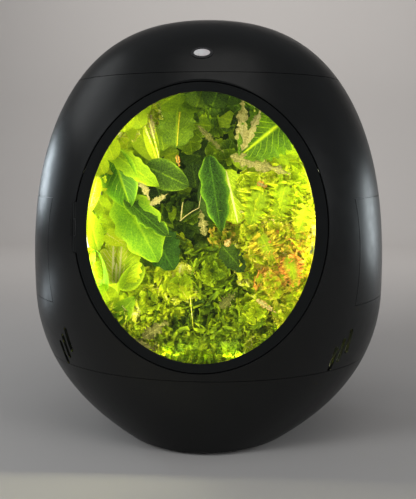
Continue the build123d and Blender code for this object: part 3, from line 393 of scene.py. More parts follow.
dress(plastic("float_yellow", (0.62, 0.40, 0.03), (0.74, 0.50, 0.05),
              rough=0.7, spread=0.08, grain=500.0, depth=0.0002),
      "level_float")
dress(plastic("button_pearl", (0.70, 0.60, 0.60), (0.86, 0.84, 0.84),
              rough=0.22, spread=0.05, grain=500.0, depth=0.00002, cloud=70.0),
      "status_button")
dress(plastic("bezel_dark", (0.03, 0.03, 0.032), (0.05, 0.05, 0.053),
              rough=0.28, spread=0.05, grain=800.0, depth=0.00002, metallic=0.7),
      "button_bezel")
LAMP_HOUSING = (0.80, 0.82, 0.76)
TRAY_FROST = (0.86, 0.88, 0.80)
BAR_GLOW, TRAY_GLOW, BOARD_GLOW = 9.0, 1.6, 1.0
for hand in ("left", "right"):
    dress(lamp_material(f"lamp_{hand}", LAMP_HOUSING, GROW_LIGHT, BAR_GLOW, bar_mask(hand)),
          f"light_bar_{hand}")
dress(lamp_material("tray_frost", TRAY_FROST, GROW_LIGHT, TRAY_GLOW, everywhere), "led_tray")
dress(lamp_material("led_board", LAMP_HOUSING, GROW_LIGHT, BOARD_GLOW, everywhere), "led_board")

# ---------------------------------------------------------------- leaves
PLANT_COLUMN_X = 0.0555      # between the middle column of pots and an outer one
PLANT_ROW_Z = (0.282, 0.408)  # between the rows of pots
CAMERA_POINT = np.array(camera.location)
FACE_ARRAY = np.array(FACE_ORIGIN)
FACE_OUT_ARRAY = np.array(FACE_OUT)
METRES_PER_PIXEL = 0.00152   # at the door face
GOLDEN_ANGLE = math.pi * (3 - math.sqrt(5))
DRY_TONE = 0.92              # only a leaf whose own tone is above this one goes paler
STEM_THICK, HEART_THICK = 0.0045, 0.012
RIB_DEPTHS = (46, 42)        # of a bare rib's top and foot, in millimetres
ARCH_WAY = np.array((0, -0.4, 0.9))  # where the middle of a stalk rises: forward and up
ASKEW = np.array((0.2, 0.9, 0.35))  # a way that no stalk runs along
# a head's innermost leaf and how far the heart stands out, as shares of its radius; how its tones differ
INNERMOST, HEART_RISE, TONE_SPREAD = 0.16, 0.55, 0.10
# a plant's crown, from the middle of its pot: inward as a share of its place, forward and up in metres
CROWN_INWARD = 0.02
CROWN_FORWARD, CROWN_UP = 0.012, 0.012
# the window, in image pixels, and the column in its middle where leaf tones carry painted shade
WINDOW_LEFT, WINDOW_TOP, WINDOW_WIDE, WINDOW_TALL = 88, 92, 228, 270
PAINTED_SHADE_AT, PAINTED_SHADE_WIDE = 198, 48
# room for leaves: behind the door face, between the light bars, and inside the walls
LEAF_FRONT = 0.018
BAR_DEPTH = 0.043
MOUTH_HALF_X, MOUTH_HALF_Z = 0.167, 0.198
SHELL_HALF_X, BELOW_HALF_Z, ABOVE_HALF_Z = 0.182, 0.230, 0.200
CHAMBER_HALF_X = 0.169
EASE_FROM = 0.95             # share of that room from which leaves are drawn in
LIVING, VEINED, DRY = range(3)  # leaf materials, in the order that each mesh holds them
SEED = 11
rng = np.random.default_rng(SEED)


def unit(vector):
    return vector / max(np.linalg.norm(vector), 1e-9)


def outline(style, t):
    """Half width of a leaf, 0 to 1, along its length."""
    if style == "broad":
        return np.sin(np.pi * np.clip(t, 0, 1) ** 0.82) ** 0.62
    if style == "spear":
        return np.sin(np.pi * t ** 0.74) ** 0.85
    if style == "round":
        return np.sqrt(np.clip(1 - (2 * t ** 0.9 - 1) ** 2, 0, 1)) ** 0.9
    if style == "paddle":
        return (0.16 + 0.84 * np.clip((t - 0.12) / 0.5, 0, 1) ** 1.3) * np.sqrt(np.clip(1 - t ** 5, 0, 1))
    return (0.22 + 0.95 * t ** 0.8) * np.sqrt(np.clip(1 - t ** 7, 0, 1))


def inside_chamber(points):
    """Draws points in until they clear the mouth, the light bars and the walls."""
    points = points.copy()
    behind = -(points - FACE_ARRAY) @ FACE_OUT_ARRAY
    points -= np.clip(LEAF_FRONT - behind, 0, None)[..., None] * FACE_OUT_ARRAY
    room = np.clip((behind - LEAF_FRONT) / (BAR_DEPTH - LEAF_FRONT), 0, 1)
    half_x = np.where(behind < BAR_DEPTH, MOUTH_HALF_X + (SHELL_HALF_X - MOUTH_HALF_X) * room, CHAMBER_HALF_X)
    far_half_z = np.where(points[..., 2] < FACE_ARRAY[2], BELOW_HALF_Z, ABOVE_HALF_Z)
    half_z = MOUTH_HALF_Z + (far_half_z - MOUTH_HALF_Z) * room
    reach = np.sqrt((points[..., 0] / half_x) ** 2 + ((points[..., 2] - FACE_ARRAY[2]) / half_z) ** 2)
    eased = EASE_FROM + (1 - EASE_FROM) * np.tanh((reach - EASE_FROM) / (1 - EASE_FROM))
    shrink = np.where(reach > EASE_FROM, eased / np.maximum(reach, 1e-6), 1)
    points[..., 0] *= shrink
    points[..., 2] = FACE_ARRAY[2] + (points[..., 2] - FACE_ARRAY[2]) * shrink
    return points


class Plant:
    """Collects the leaves and stalks of one plant, then makes them one mesh."""

    def __init__(self, number):
        self.number = number
        self.verts, self.faces, self.data, self.skins, self.count = [], [], [], [], 0
        low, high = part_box(f"net_pot_{number}")
        shift = np.array(((low.x + high.x) * -CROWN_INWARD, -CROWN_FORWARD, CROWN_UP))
        self.crown = np.array((low + high) / 2) + shift

    def grid(self, points, info, skin):
        """Adds a sheet of rows and columns of points, with its colour data and its material."""
        points = inside_chamber(points)
        rows, cols = points.shape[:2]
        index = np.arange(rows * cols).reshape(rows, cols) + self.count
        quads = np.stack([index[:-1, :-1], index[:-1, 1:], index[1:, 1:], index[1:, :-1]], -1).reshape(-1, 4)
        self.verts.append(points.reshape(-1, 3))
        self.data.append(info.reshape(-1, 4))
        self.faces.append(quads)
        self.skins.append(np.full(len(quads), skin))
        self.count += rows * cols

    def leaf(self, base, tip, width, style="broad", tone=0.5, red=0.0, toward=None, bend=0.12, roll=0.0,
             fold=0.10, cup=0.0, ruffle=0.0, waves=5, tooth=0.0, twist=0.0, rows=22, cols=11, pale_edge=0.0,
             skin=LIVING):
        """Leaf that faces `toward`: bent along its length, curved across it, frilled or toothed at its edge.

        bend is a share of its length; fold, cup and ruffle are shares of its half width. red above 0 makes
        its edges rusty, and below 0 makes all of it emerald.
        """
        base, tip = np.array(base, float), np.array(tip, float)
        length = np.linalg.norm(tip - base)
        if toward is None:
            toward = unit(CAMERA_POINT - (base + tip) / 2)
        axis = unit(tip - base)
        front = unit(toward - axis * toward.dot(axis))
        t = np.linspace(0, 1, rows)[:, None]
        s = np.linspace(-1, 1, cols)[None, :]
        knee = (base + tip) / 2 + front * bend * length
        path = (1 - t) ** 2 * base + 2 * t * (1 - t) * knee + t ** 2 * tip
        tangent = np.gradient(path, axis=0)
        tangent /= np.linalg.norm(tangent, axis=1)[:, None]
        flank = np.cross(tangent, front)
        flank /= np.linalg.norm(flank, axis=1)[:, None]
        normal = np.cross(flank, tangent)
        angle = roll + twist * t
        turned = flank * np.cos(angle) + normal * np.sin(angle)
        normal = normal * np.cos(angle) - flank * np.sin(angle)
        half = width / 2 * outline(style, t)
        phase = rng.uniform(0, 2 * np.pi, 8)
        edge = np.abs(s)
        if tooth:
            saw = np.sin(2 * np.pi * waves * 2.7 * t + phase[0] * np.sign(s))
            saw = saw + 0.6 * np.sin(2 * np.pi * waves * 5.3 * t + phase[1] + s)
            half = half * (1 + tooth * saw * edge ** 2)
        lift = width / 2 * (fold * edge + cup * s ** 2)
        if ruffle:
            side = np.sign(s) * 1.3
            wave = np.sin(2 * np.pi * waves * t ** 1.15 + phase[2] + side)
            wave = wave + 0.55 * np.sin(2 * np.pi * waves * 2.3 * t + phase[3] + 2 * side + 2 * s)
            wave = wave + 0.30 * np.sin(2 * np.pi * waves * 4.6 * t + phase[4] + 5 * s)
            lift = lift + width / 2 * ruffle * edge ** 2.2 * wave * np.clip(t * 3, 0, 1) ** 0.7
            half = half * (1 + 0.10 * edge ** 3 * np.sin(2 * np.pi * waves * 1.9 * t + phase[5]))
        quilt = np.sin(2 * np.pi * (9 * t - 1.2 * edge) + phase[6]) * np.sin(np.pi * edge) * (1 - t)
        lift = lift + 0.012 * width * quilt
        points = path[:, None, :] + turned[:, None, :] * (s * half)[..., None]
        points = points + normal[:, None, :] * lift[..., None]
        if tooth:
            lobe = np.sin(2 * np.pi * waves * 0.9 * s + phase[7])
            lobe = lobe + 0.5 * np.sin(2 * np.pi * waves * 1.7 * s + phase[6])
            points = points + tangent[:, None, :] * (width * 0.25 * tooth * lobe * t ** 2)[..., None]
        info = np.zeros((rows, cols, 4))
        info[..., 0] = t
        info[..., 1] = edge
        freshest = 1.0 if tone > DRY_TONE else DRY_TONE
        info[..., 2] = np.clip(tone + pale_edge * edge ** 5 + rng.normal(0, 0.02), 0, freshest)
        info[..., 3] = red
        self.grid(points, info, skin)

    def stalk(self, start, end, thick, tone, arch=0.10, red=0.0, taper=0.6, skin=LIVING):
        """Arched stem that narrows to the share `taper` of its thickness at its end."""
        start, end = np.array(start, float), np.array(end, float)
        steps, sides = 9, 7
        t = np.linspace(0, 1, steps)[:, None]
        knee = (start + end) / 2 + ARCH_WAY * arch * np.linalg.norm(end - start)
        path = (1 - t) ** 2 * start + 2 * t * (1 - t) * knee + t ** 2 * end
        tangent = np.gradient(path, axis=0)
        tangent /= np.linalg.norm(tangent, axis=1)[:, None]
        first = np.cross(tangent, ASKEW)
        first /= np.linalg.norm(first, axis=1)[:, None]
        second = np.cross(tangent, first)
        angle = np.linspace(0, 2 * np.pi, sides)[None, :, None]
        girth = (thick / 2 * (1 - (1 - taper) * t))[:, None, :]
        ring = first[:, None, :] * np.cos(angle) + 0.75 * second[:, None, :] * np.sin(angle)
        points = path[:, None, :] + ring * girth
        info = np.zeros((steps, sides, 4))
        info[..., 0] = t * 0.3
        info[..., 1] = 0.5
        info[..., 2] = tone
        info[..., 3] = red
        self.grid(points, info, skin)

    def build(self, materials):
        """The plant's mesh, with its materials in the order of LIVING, VEINED and DRY."""
        mesh = bpy.data.meshes.new(f"leaves_{self.number}")
        verts, faces = np.concatenate(self.verts), np.concatenate(self.faces)
        mesh.from_pydata(verts.tolist(), [], faces.tolist())
        layer = mesh.color_attributes.new(LEAF_ATTRIBUTE, "FLOAT_COLOR", "POINT")
        layer.data.foreach_set("color", np.concatenate(self.data).astype(np.float32).ravel())
        mesh.polygons.foreach_set("use_smooth", [True] * len(mesh.polygons))
        mesh.polygons.foreach_set("material_index", np.concatenate(self.skins))
        for material in materials:
            mesh.materials.append(material)
        mesh.update()
        piece = bpy.data.objects.new(f"leaves_{self.number}", mesh)
        bpy.context.scene.collection.objects.link(piece)
        return piece


plants = {number: Plant(number) for number in range(1, 10)}


def plant_at(point):
    """The plant in whose share of the wall a point lies."""
    column = 0 if point[0] > PLANT_COLUMN_X else 2 if point[0] < -PLANT_COLUMN_X else 1
    row = sum(point[2] > height for height in PLANT_ROW_Z)
    return plants[1 + 3 * row + column]


def blade(base, tip, width, deep=(62, 50), stem=True, **look):
    """One leaf from its base to its tip, both given in image pixels, with its depths in millimetres."""
    start, end = spot(*base, deep[0]), spot(*tip, deep[1])
    owner = plant_at((start + end) / 2)
    owner.leaf(start, end, width * METRES_PER_PIXEL, **look)
    if stem:
        stem_tone = min(1.0, look["tone"] + 0.12)
        owner.stalk(owner.crown, start, STEM_THICK, stem_tone, red=look.get("red", 0) * 0.3)


def bare_rib(top, foot, thick, **look):
    """One stalk without a leaf, both its ends given in image pixels."""
    start, end = spot(*top, RIB_DEPTHS[0]), spot(*foot, RIB_DEPTHS[1])
    plant_at((start + end) / 2).stalk(start, end, thick, arch=0.12, taper=0.5, **look)


def rosette(at, radius, leaves, deep, tone, style="fan", red=0.0, ruffle=0.24, waves=4, tooth=0.30,
            width=1.05, rows=40, cols=17):
    """A head of leaves that opens towards the door: small upright ones inside, wide ones outside.

    Its place and its radius are in image pixels, its depth in millimetres.
    """
    centre = spot(*at, deep)
    out = unit(CAMERA_POINT - centre)
    across = unit(np.cross(np.array((0, 0, 1.0)), out))
    upward = np.cross(out, across)
    owner = plant_at(centre)
    size = radius * METRES_PER_PIXEL
    start = rng.uniform(0, 2 * np.pi)
    for number in range(leaves):
        q = INNERMOST + (1 - INNERMOST) * (number + 0.5) / leaves
        turn = start + GOLDEN_ANGLE * number + rng.normal(0, 0.12)
        radial = across * math.cos(turn) + upward * math.sin(turn)
        reach = size * (q ** 0.8) * rng.uniform(0.88, 1.12)
        base = centre + radial * size * 0.10 * q - out * size * 0.30
        tip = centre + radial * reach + out * size * HEART_RISE * (1 - q) * rng.uniform(0.8, 1.1)
        facing = unit(out * (0.6 + q) - radial * (0.8 - 0.7 * q))
        owner.leaf(base, tip, reach * width * rng.uniform(0.9, 1.15) + size * 0.12, style=style,
                   tone=tone + rng.normal(0, TONE_SPREAD), red=red * rng.uniform(0.2, 1.0), toward=facing,
                   bend=-0.10 - 0.10 * q, fold=0.12, cup=-0.08, ruffle=ruffle, waves=waves, tooth=tooth,
                   twist=rng.normal(0, 0.25), rows=rows, cols=cols, pale_edge=0.22)
    owner.stalk(owner.crown, centre - out * size * 0.28, HEART_THICK, 0.85)


def backdrop_leaves(deep, rows, columns, width):
    """Large loose leaves deep in the cabinet, which close the view to the wall; their tone is painted darker
    towards the window's middle column, as shade.
    """
    for row in range(rows):
        for column in range(columns):
            px = WINDOW_LEFT + (column + 0.5 * (row % 2)) * WINDOW_WIDE / (columns - 0.5) + rng.normal(0, 4)
            py = WINDOW_TOP + row * WINDOW_TALL / (rows - 1) + rng.normal(0, 4)
            # painted shade: the tone falls towards the window's middle column
            painted_shade = math.exp(-((px - PAINTED_SHADE_AT) / PAINTED_SHADE_WIDE) ** 2)
            turn = rng.uniform(0, 2 * np.pi)
            tip = (px + width * math.cos(turn), py - width * abs(math.sin(turn)) + 8)
            blade((px, py), tip, width, (deep, deep - 18), stem=False, tone=0.70 - 0.62 * painted_shade,
                  style="broad", bend=0.2, roll=rng.normal(0, 0.3), ruffle=0.16, waves=3, rows=14, cols=9)


backdrop_leaves(150, 8, 7, 46)
backdrop_leaves(118, 9, 8, 38)

SMALL = dict(leaves=10, rows=28, cols=13)
SMOOTH = dict(style="paddle", tooth=0.03, waves=3, rows=24, cols=11)
BROAD = dict(style="broad", ruffle=0.10, waves=3, tooth=0.0, width=0.8, rows=24, cols=11)
# heads in and near the window's middle column have low tones: painted shade over the leaves' own colour
HEADS = [
    # frilled heads: lower middle, bottom, lower right, right
    dict(at=(178, 284), radius=33, leaves=13, deep=78, tone=0.60),
    dict(at=(212, 270), radius=30, leaves=13, deep=80, tone=0.40),
    dict(at=(150, 300), radius=28, leaves=12, deep=72, tone=0.66),
    dict(at=(172, 324), radius=32, leaves=13, deep=74, tone=0.42),
    dict(at=(208, 318), radius=34, leaves=13, deep=84, tone=0.22),
    dict(at=(245, 308), radius=36, leaves=13, deep=76, tone=0.48),
    dict(at=(150, 334), radius=24, leaves=11, deep=60, tone=0.60),
    dict(at=(190, 352), radius=28, leaves=12, deep=58, tone=0.48),
    dict(at=(228, 350), radius=30, leaves=12, deep=58, tone=0.54),
    dict(at=(262, 336), radius=26, leaves=12, deep=60, tone=0.54),
    dict(at=(282, 300), radius=34, leaves=12, deep=64, tone=0.70, red=0.5),
    dict(at=(262, 266), radius=32, leaves=12, deep=62, tone=0.76, red=0.1),
    dict(at=(296, 262), radius=30, leaves=11, deep=58, tone=0.76, red=0.7),
    dict(at=(274, 232), radius=34, leaves=12, deep=56, tone=0.72, red=0.4),
    dict(at=(300, 214), radius=28, leaves=11, deep=54, tone=0.74, red=0.2),
    dict(at=(256, 202), radius=30, leaves=12, deep=58, tone=0.70),
    dict(at=(286, 184), radius=28, leaves=11, deep=56, tone=0.74),
    dict(at=(228, 240), radius=22, leaves=11, deep=82, tone=0.50, red=0.7),
    dict(at=(172, 250), radius=24, leaves=11, deep=92, tone=0.30),
    dict(at=(116, 318), radius=24, leaves=11, deep=44, tone=0.74),
    dict(at=(142, 346), radius=20, leaves=10, deep=44, tone=0.66),
    dict(at=(205, 362), radius=22, leaves=10, deep=44, tone=0.54),
    dict(at=(262, 350), radius=20, leaves=10, deep=44, tone=0.70),
    dict(at=(308, 232), radius=18, leaves=9, deep=42, tone=0.80, red=0.5),
    dict(at=(104, 256), radius=20, leaves=9, deep=44, tone=0.72),
    dict(at=(290, 316), radius=22, deep=42, tone=0.68, red=0.4, **SMALL),
    dict(at=(304, 284), radius=20, deep=42, tone=0.76, red=0.7, **SMALL),
    dict(at=(126, 336), radius=18, deep=40, tone=0.60, **SMALL),
    # small bright heads in front of the right ones
    dict(at=(250, 188), radius=18, deep=46, tone=0.64, **SMALL),
    dict(at=(272, 178), radius=18, deep=44, tone=0.68, **SMALL),
    dict(at=(264, 208), radius=20, deep=44, tone=0.68, **SMALL),
    dict(at=(288, 204), radius=20, deep=42, tone=0.68, **SMALL),
    dict(at=(278, 230), radius=20, deep=42, tone=0.68, red=0.3, **SMALL),
    dict(at=(254, 232), radius=18, deep=46, tone=0.70, red=0.5, **SMALL),
    dict(at=(298, 238), radius=18, deep=40, tone=0.68, red=0.9, **SMALL),
    dict(at=(262, 252), radius=18, deep=46, tone=0.74, red=0.3, **SMALL),
    dict(at=(286, 256), radius=22, deep=42, tone=0.70, red=1.3, **SMALL),
    dict(at=(272, 282), radius=18, deep=44, tone=0.72, red=1.0, **SMALL),
    dict(at=(256, 312), radius=18, deep=46, tone=0.60, **SMALL),
    # one head at the upper left
    dict(at=(152, 108), radius=20, leaves=9, deep=48, tone=0.80),
    # loose heads: upper left, left edge, upper right, and the middle, whose low tones are painted shade
    dict(at=(116, 134), radius=32, leaves=11, deep=52, tone=0.80, ruffle=0.14, width=0.6, **SMOOTH),
    dict(at=(99, 180), radius=26, leaves=10, deep=42, tone=0.78, red=0.3, ruffle=0.10, width=0.7, **SMOOTH),
    dict(at=(96, 222), radius=24, leaves=10, deep=40, tone=0.62, ruffle=0.10, width=0.7, **SMOOTH),
    dict(at=(296, 160), radius=28, leaves=11, deep=70, tone=0.84, ruffle=0.18, width=0.7, **SMOOTH),
    dict(at=(186, 124), radius=34, leaves=12, deep=84, tone=0.34, ruffle=0.12, width=0.75, **SMOOTH),
    dict(at=(228, 118), radius=36, leaves=12, deep=96, tone=0.08, **BROAD),
    dict(at=(226, 160), radius=30, leaves=12, deep=98, tone=0.30, **BROAD),
    dict(at=(186, 205), radius=36, leaves=14, deep=100, tone=0.08, **BROAD),
]
for head in HEADS:
    rosette(**head)

FRILLED = dict(style="fan", ruffle=0.3, waves=5, tooth=0.3, bend=0.12, pale_edge=0.30, rows=40, cols=17,
               stem=False)
WITHERED = dict(style="spear", tooth=0.24, waves=3, bend=0.08, roll=0.25, twist=0.5, rows=30, cols=9,
                stem=False, skin=DRY)
PLAIN = dict(style="broad", bend=0.1)
LEAVES = [
    # large smooth leaves on the left
    dict(base=(112, 152), tip=(131, 208), width=40, deep=(52, 42), tone=0.32, red=-0.75, fold=0.22,
         roll=-0.35, bend=0.10, pale_edge=0.45, skin=VEINED, rows=40, cols=21),
    dict(base=(122, 194), tip=(158, 262), width=46, deep=(50, 40), tone=0.50, red=-0.6, fold=0.10,
         roll=0.15, bend=0.14, ruffle=0.06, waves=2, pale_edge=0.3),
    dict(base=(148, 226), tip=(174, 270), width=40, deep=(62, 56), tone=0.14, red=-0.6, fold=0.10,
         roll=0.3, bend=0.10, ruffle=0.05, waves=3),
    dict(base=(109, 150), tip=(159, 187), width=22, deep=(46, 38), tone=0.62, red=-0.4, fold=0.16,
         roll=0.3, bend=0.16, ruffle=0.06, waves=3, pale_edge=0.15),
    dict(base=(146, 166), tip=(189, 186), width=30, deep=(48, 44), tone=0.16, fold=0.10, roll=-0.2,
         bend=0.12, pale_edge=0.2),
    dict(base=(124, 198), tip=(170, 238), width=24, deep=(44, 38), tone=0.10, red=-0.3, fold=0.12,
         roll=0.7, bend=0.10, ruffle=0.14, waves=3, pale_edge=0.5),
    # hanging leaf in the middle and its pale neighbour
    dict(base=(209, 156), tip=(221, 232), width=28, deep=(50, 44), tone=0.06, red=-0.5, fold=0.16,
         roll=0.1, bend=0.10, twist=0.35, ruffle=0.06, waves=2, pale_edge=0.45, rows=40, cols=21),
    dict(base=(226, 170), tip=(238, 224), width=30, deep=(54, 50), tone=0.66, style="round",
         ruffle=0.16, waves=5, tooth=0.06, bend=0.1, skin=VEINED, rows=40, cols=21),
    dict(base=(206, 178), tip=(212, 222), width=24, deep=(60, 54), tone=0.18, fold=0.1, roll=-0.5,
         bend=0.1),
    dict(base=(222, 246), tip=(244, 272), width=22, deep=(56, 52), tone=0.12, style="broad", bend=0.1,
         roll=0.3, ruffle=0.2, waves=3, tooth=0.1),
    # upper left: upright leaves and yellow ribs
    dict(base=(176, 148), tip=(178, 96), width=36, deep=(60, 54), tone=0.36, style="broad", ruffle=0.08,
         waves=4, fold=0.16, bend=0.08),
    dict(base=(158, 160), tip=(124, 112), width=26, deep=(62, 54), tone=0.62, style="broad", fold=0.14,
         roll=0.4, bend=0.08),
    dict(base=(156, 162), tip=(144, 106), width=14, deep=(58, 50), tone=0.80, style="spear", fold=0.2,
         bend=0.06),
    dict(base=(192, 106), tip=(216, 86), width=26, deep=(46, 40), tone=0.22, style="broad", roll=-0.3,
         ruffle=0.06, waves=3, bend=0.1),
    dict(base=(182, 98), tip=(206, 106), width=26, deep=(52, 46), tone=0.30, style="broad", roll=0.3,
         bend=0.12, pale_edge=0.2),
    # upper right: veined leaf with a yellow rib
    dict(base=(292, 114), tip=(240, 156), width=52, deep=(42, 44), tone=0.32, red=-0.3, style="broad",
         fold=0.12, roll=-0.15, bend=0.10, ruffle=0.06, waves=5, pale_edge=0.1, skin=VEINED, rows=40,
         cols=21),
    dict(base=(262, 160), tip=(302, 150), width=24, deep=(54, 48), tone=0.60, style="broad",
         ruffle=0.12, waves=4, bend=0.08),
    dict(base=(232, 160), tip=(292, 172), width=20, deep=(60, 52), tone=0.52, style="broad",
         ruffle=0.16, waves=5, tooth=0.05, bend=0.08),
    # dry leaves: two beside it, one below it, and scraps elsewhere
    dict(base=(241, 151), tip=(244, 94), width=12, deep=(42, 36), tone=0.56, ruffle=0.4, **WITHERED),
    dict(base=(242, 151), tip=(264, 104), width=9, deep=(41, 34), tone=0.60, ruffle=0.3, **WITHERED),
    dict(base=(230, 156), tip=(290, 174), width=13, deep=(44, 38), tone=0.50, ruffle=0.4, **WITHERED),
    dict(base=(198, 126), tip=(224, 153), width=6, deep=(46, 42), tone=0.38, ruffle=0.4, **WITHERED),
    dict(base=(205, 236), tip=(201, 210), width=9, deep=(46, 42), tone=0.44, ruffle=0.5, **WITHERED),
    dict(base=(142, 338), tip=(168, 322), width=13, deep=(38, 36), tone=0.44, ruffle=0.5, **WITHERED),
    dict(base=(132, 338), tip=(156, 351), width=7, deep=(36, 34), tone=0.46, ruffle=0.4, **WITHERED),
    dict(base=(220, 308), tip=(236, 293), width=11, deep=(44, 42), tone=0.34, ruffle=0.5, **WITHERED),
    dict(base=(256, 299), tip=(276, 313), width=6, deep=(40, 38), tone=0.50, red=0.4, ruffle=0.4,
         **WITHERED),
    dict(base=(257, 183), tip=(267, 187), width=7, deep=(38, 36), tone=0.50, red=2.0, ruffle=0.4,
         **WITHERED),
    dict(base=(225, 246), tip=(231, 239), width=7, deep=(40, 38), tone=0.56, red=0.6, ruffle=0.4,
         **WITHERED),
    dict(base=(153, 138), tip=(151, 112), width=6, deep=(46, 42), tone=0.56, ruffle=0.2, **WITHERED),
    dict(base=(140, 175), tip=(149, 200), width=9, deep=(36, 34), tone=0.60, ruffle=0.3, **WITHERED),
    dict(base=(150, 205), tip=(168, 194), width=7, deep=(42, 40), tone=0.56, ruffle=0.3, **WITHERED),
    dict(base=(177, 155), tip=(179, 167), width=4, deep=(42, 40), tone=0.44, red=2.0, ruffle=0.4,
         **WITHERED),
    # leaves against the rim
    dict(base=(158, 108), tip=(188, 84), width=26, deep=(40, 34), tone=0.44, style="broad", bend=0.1,
         roll=0.2),
    dict(base=(138, 116), tip=(146, 92), width=20, deep=(38, 32), tone=0.60, **PLAIN),
    dict(base=(114, 160), tip=(102, 130), width=22, deep=(34, 26), tone=0.70, **PLAIN),
    dict(base=(126, 132), tip=(118, 104), width=22, deep=(36, 26), tone=0.72, **PLAIN),
    dict(base=(196, 108), tip=(204, 82), width=30, deep=(42, 30), tone=0.26, **PLAIN),
    dict(base=(226, 104), tip=(236, 84), width=24, deep=(44, 38), tone=0.10, **PLAIN),
    dict(base=(212, 108), tip=(220, 82), width=26, deep=(40, 28), tone=0.14, **PLAIN),
    dict(base=(98, 250), tip=(86, 208), width=20, deep=(34, 28), tone=0.58, style="broad", bend=0.12),
    dict(base=(98, 176), tip=(88, 214), width=14, deep=(34, 28), tone=0.86, style="broad", bend=0.12),
    # leaves that close the gaps towards the wall and the rim
    # the two deep leaves here have low tones: painted shade in the cabinet's middle
    dict(base=(196, 188), tip=(192, 162), width=24, deep=(88, 80), tone=0.10, **PLAIN),
    dict(base=(162, 198), tip=(152, 178), width=22, deep=(80, 72), tone=0.10, **PLAIN),
    dict(base=(104, 174), tip=(95, 154), width=18, deep=(38, 28), tone=0.72, **PLAIN),
    dict(base=(106, 216), tip=(97, 194), width=18, deep=(42, 34), tone=0.68, **PLAIN),
    dict(base=(114, 308), tip=(102, 284), width=20, deep=(46, 38), tone=0.62, **PLAIN),
    dict(base=(164, 150), tip=(159, 126), width=20, deep=(60, 54), tone=0.46, **PLAIN),
    dict(base=(142, 128), tip=(132, 106), width=20, deep=(42, 32), tone=0.66, **PLAIN),
    # broad frilled leaves on the right
    dict(base=(250, 226), tip=(262, 188), width=32, deep=(44, 38), tone=0.60, **FRILLED),
    dict(base=(276, 222), tip=(286, 184), width=28, deep=(42, 36), tone=0.62, **FRILLED),
    dict(base=(296, 240), tip=(306, 206), width=22, deep=(40, 34), tone=0.64, red=0.2, **FRILLED),
    dict(base=(274, 262), tip=(260, 234), width=26, deep=(44, 38), tone=0.58, red=0.5, **FRILLED),
    dict(base=(296, 286), tip=(288, 256), width=24, deep=(40, 34), tone=0.62, red=1.2, **FRILLED),
    # round heads on the left edge
    dict(base=(106, 290), tip=(96, 250), width=22, deep=(46, 38), tone=0.40, red=-0.5, style="round",
         cup=0.3, roll=0.7, bend=0.15, pale_edge=0.3),
    dict(base=(122, 288), tip=(140, 262), width=24, deep=(50, 46), tone=0.40, style="round", cup=0.3,
         roll=-0.6, bend=0.15, pale_edge=0.3),
    dict(base=(112, 324), tip=(136, 296), width=22, deep=(46, 42), tone=0.50, red=-0.5, style="spear",
         fold=0.22, roll=0.2, bend=0.1, pale_edge=0.2),
    dict(base=(104, 232), tip=(126, 246), width=16, deep=(46, 40), tone=0.90, style="spear", fold=0.2,
         bend=0.16),
]
for item in LEAVES:
    blade(**item)

# round head on the left: each leaf's turn about its middle, width and tone
ROUND_HEAD_X, ROUND_HEAD_Y = 117, 264
ROUND_HEAD = [(0.4, 32, 0.62), (1.6, 30, 0.72), (2.8, 28, 0.68), (4.2, 26, 0.78), (5.2, 22, 0.84)]
for turn, width, tone in ROUND_HEAD:
    base = (ROUND_HEAD_X - 1 + 6 * math.cos(turn), ROUND_HEAD_Y + 20)
    tip = (ROUND_HEAD_X + 1 + 9 * math.cos(turn), ROUND_HEAD_Y - 18 + 6 * math.sin(turn))
    blade(base, tip, width, (52, 42), tone=tone, style="round", cup=-0.45, fold=0.0, bend=0.30,
          roll=0.6 * math.cos(turn), ruffle=0.03, waves=3, pale_edge=0.2, skin=VEINED)

RIBS = [
    # a pale pair upper right, thin ribs upper left, twigs in the middle
    dict(top=(262, 98), foot=(241, 148), thick=0.0042, tone=0.97, red=0.45),
    dict(top=(138, 112), foot=(157, 160), thick=0.0050, tone=0.94),
    dict(top=(147, 114), foot=(159, 158), thick=0.0036, tone=0.96, red=0.1),
    dict(top=(180, 112), foot=(177, 146), thick=0.0024, tone=0.84, red=1.0),
    dict(top=(190, 296), foot=(193, 326), thick=0.0016, tone=0.92),
    dict(top=(180, 221), foot=(199, 208), thick=0.0017, tone=0.62, skin=DRY),
    dict(top=(199, 208), foot=(202, 190), thick=0.0013, tone=0.56, skin=DRY),
    dict(top=(181, 219), foot=(183, 202), thick=0.0026, tone=0.56, skin=DRY),
    dict(top=(151, 203), foot=(163, 196), thick=0.0034, tone=0.66, skin=DRY),
]
for item in RIBS:
    bare_rib(**item)

leaf_looks = [
    leaf_material("living_leaf", gloss=0.42, vein=0.16, relief=0.0012, tones=LEAF_TONES),
    leaf_material("veined_leaf", gloss=0.40, vein=0.60, relief=0.0016, tones=LEAF_TONES),
    leaf_material("dry_leaf", gloss=0.75, vein=0.10, relief=0.0016, tones=DRY_TONES),
]
for number, plant in plants.items():
    foliage = plant.build(leaf_looks)
    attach(foliage, "cabinet")
    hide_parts(f"plant_{number}")


# ---------------------------------------------------------------- floor, lamps and world
SWEEP_HALF_WIDTH, SWEEP_FRONT, SWEEP_BACK = 6.0, -4.0, 3.2
SWEEP_TALL, SWEEP_RADIUS, SWEEP_STEPS = 4.5, 0.8, 12


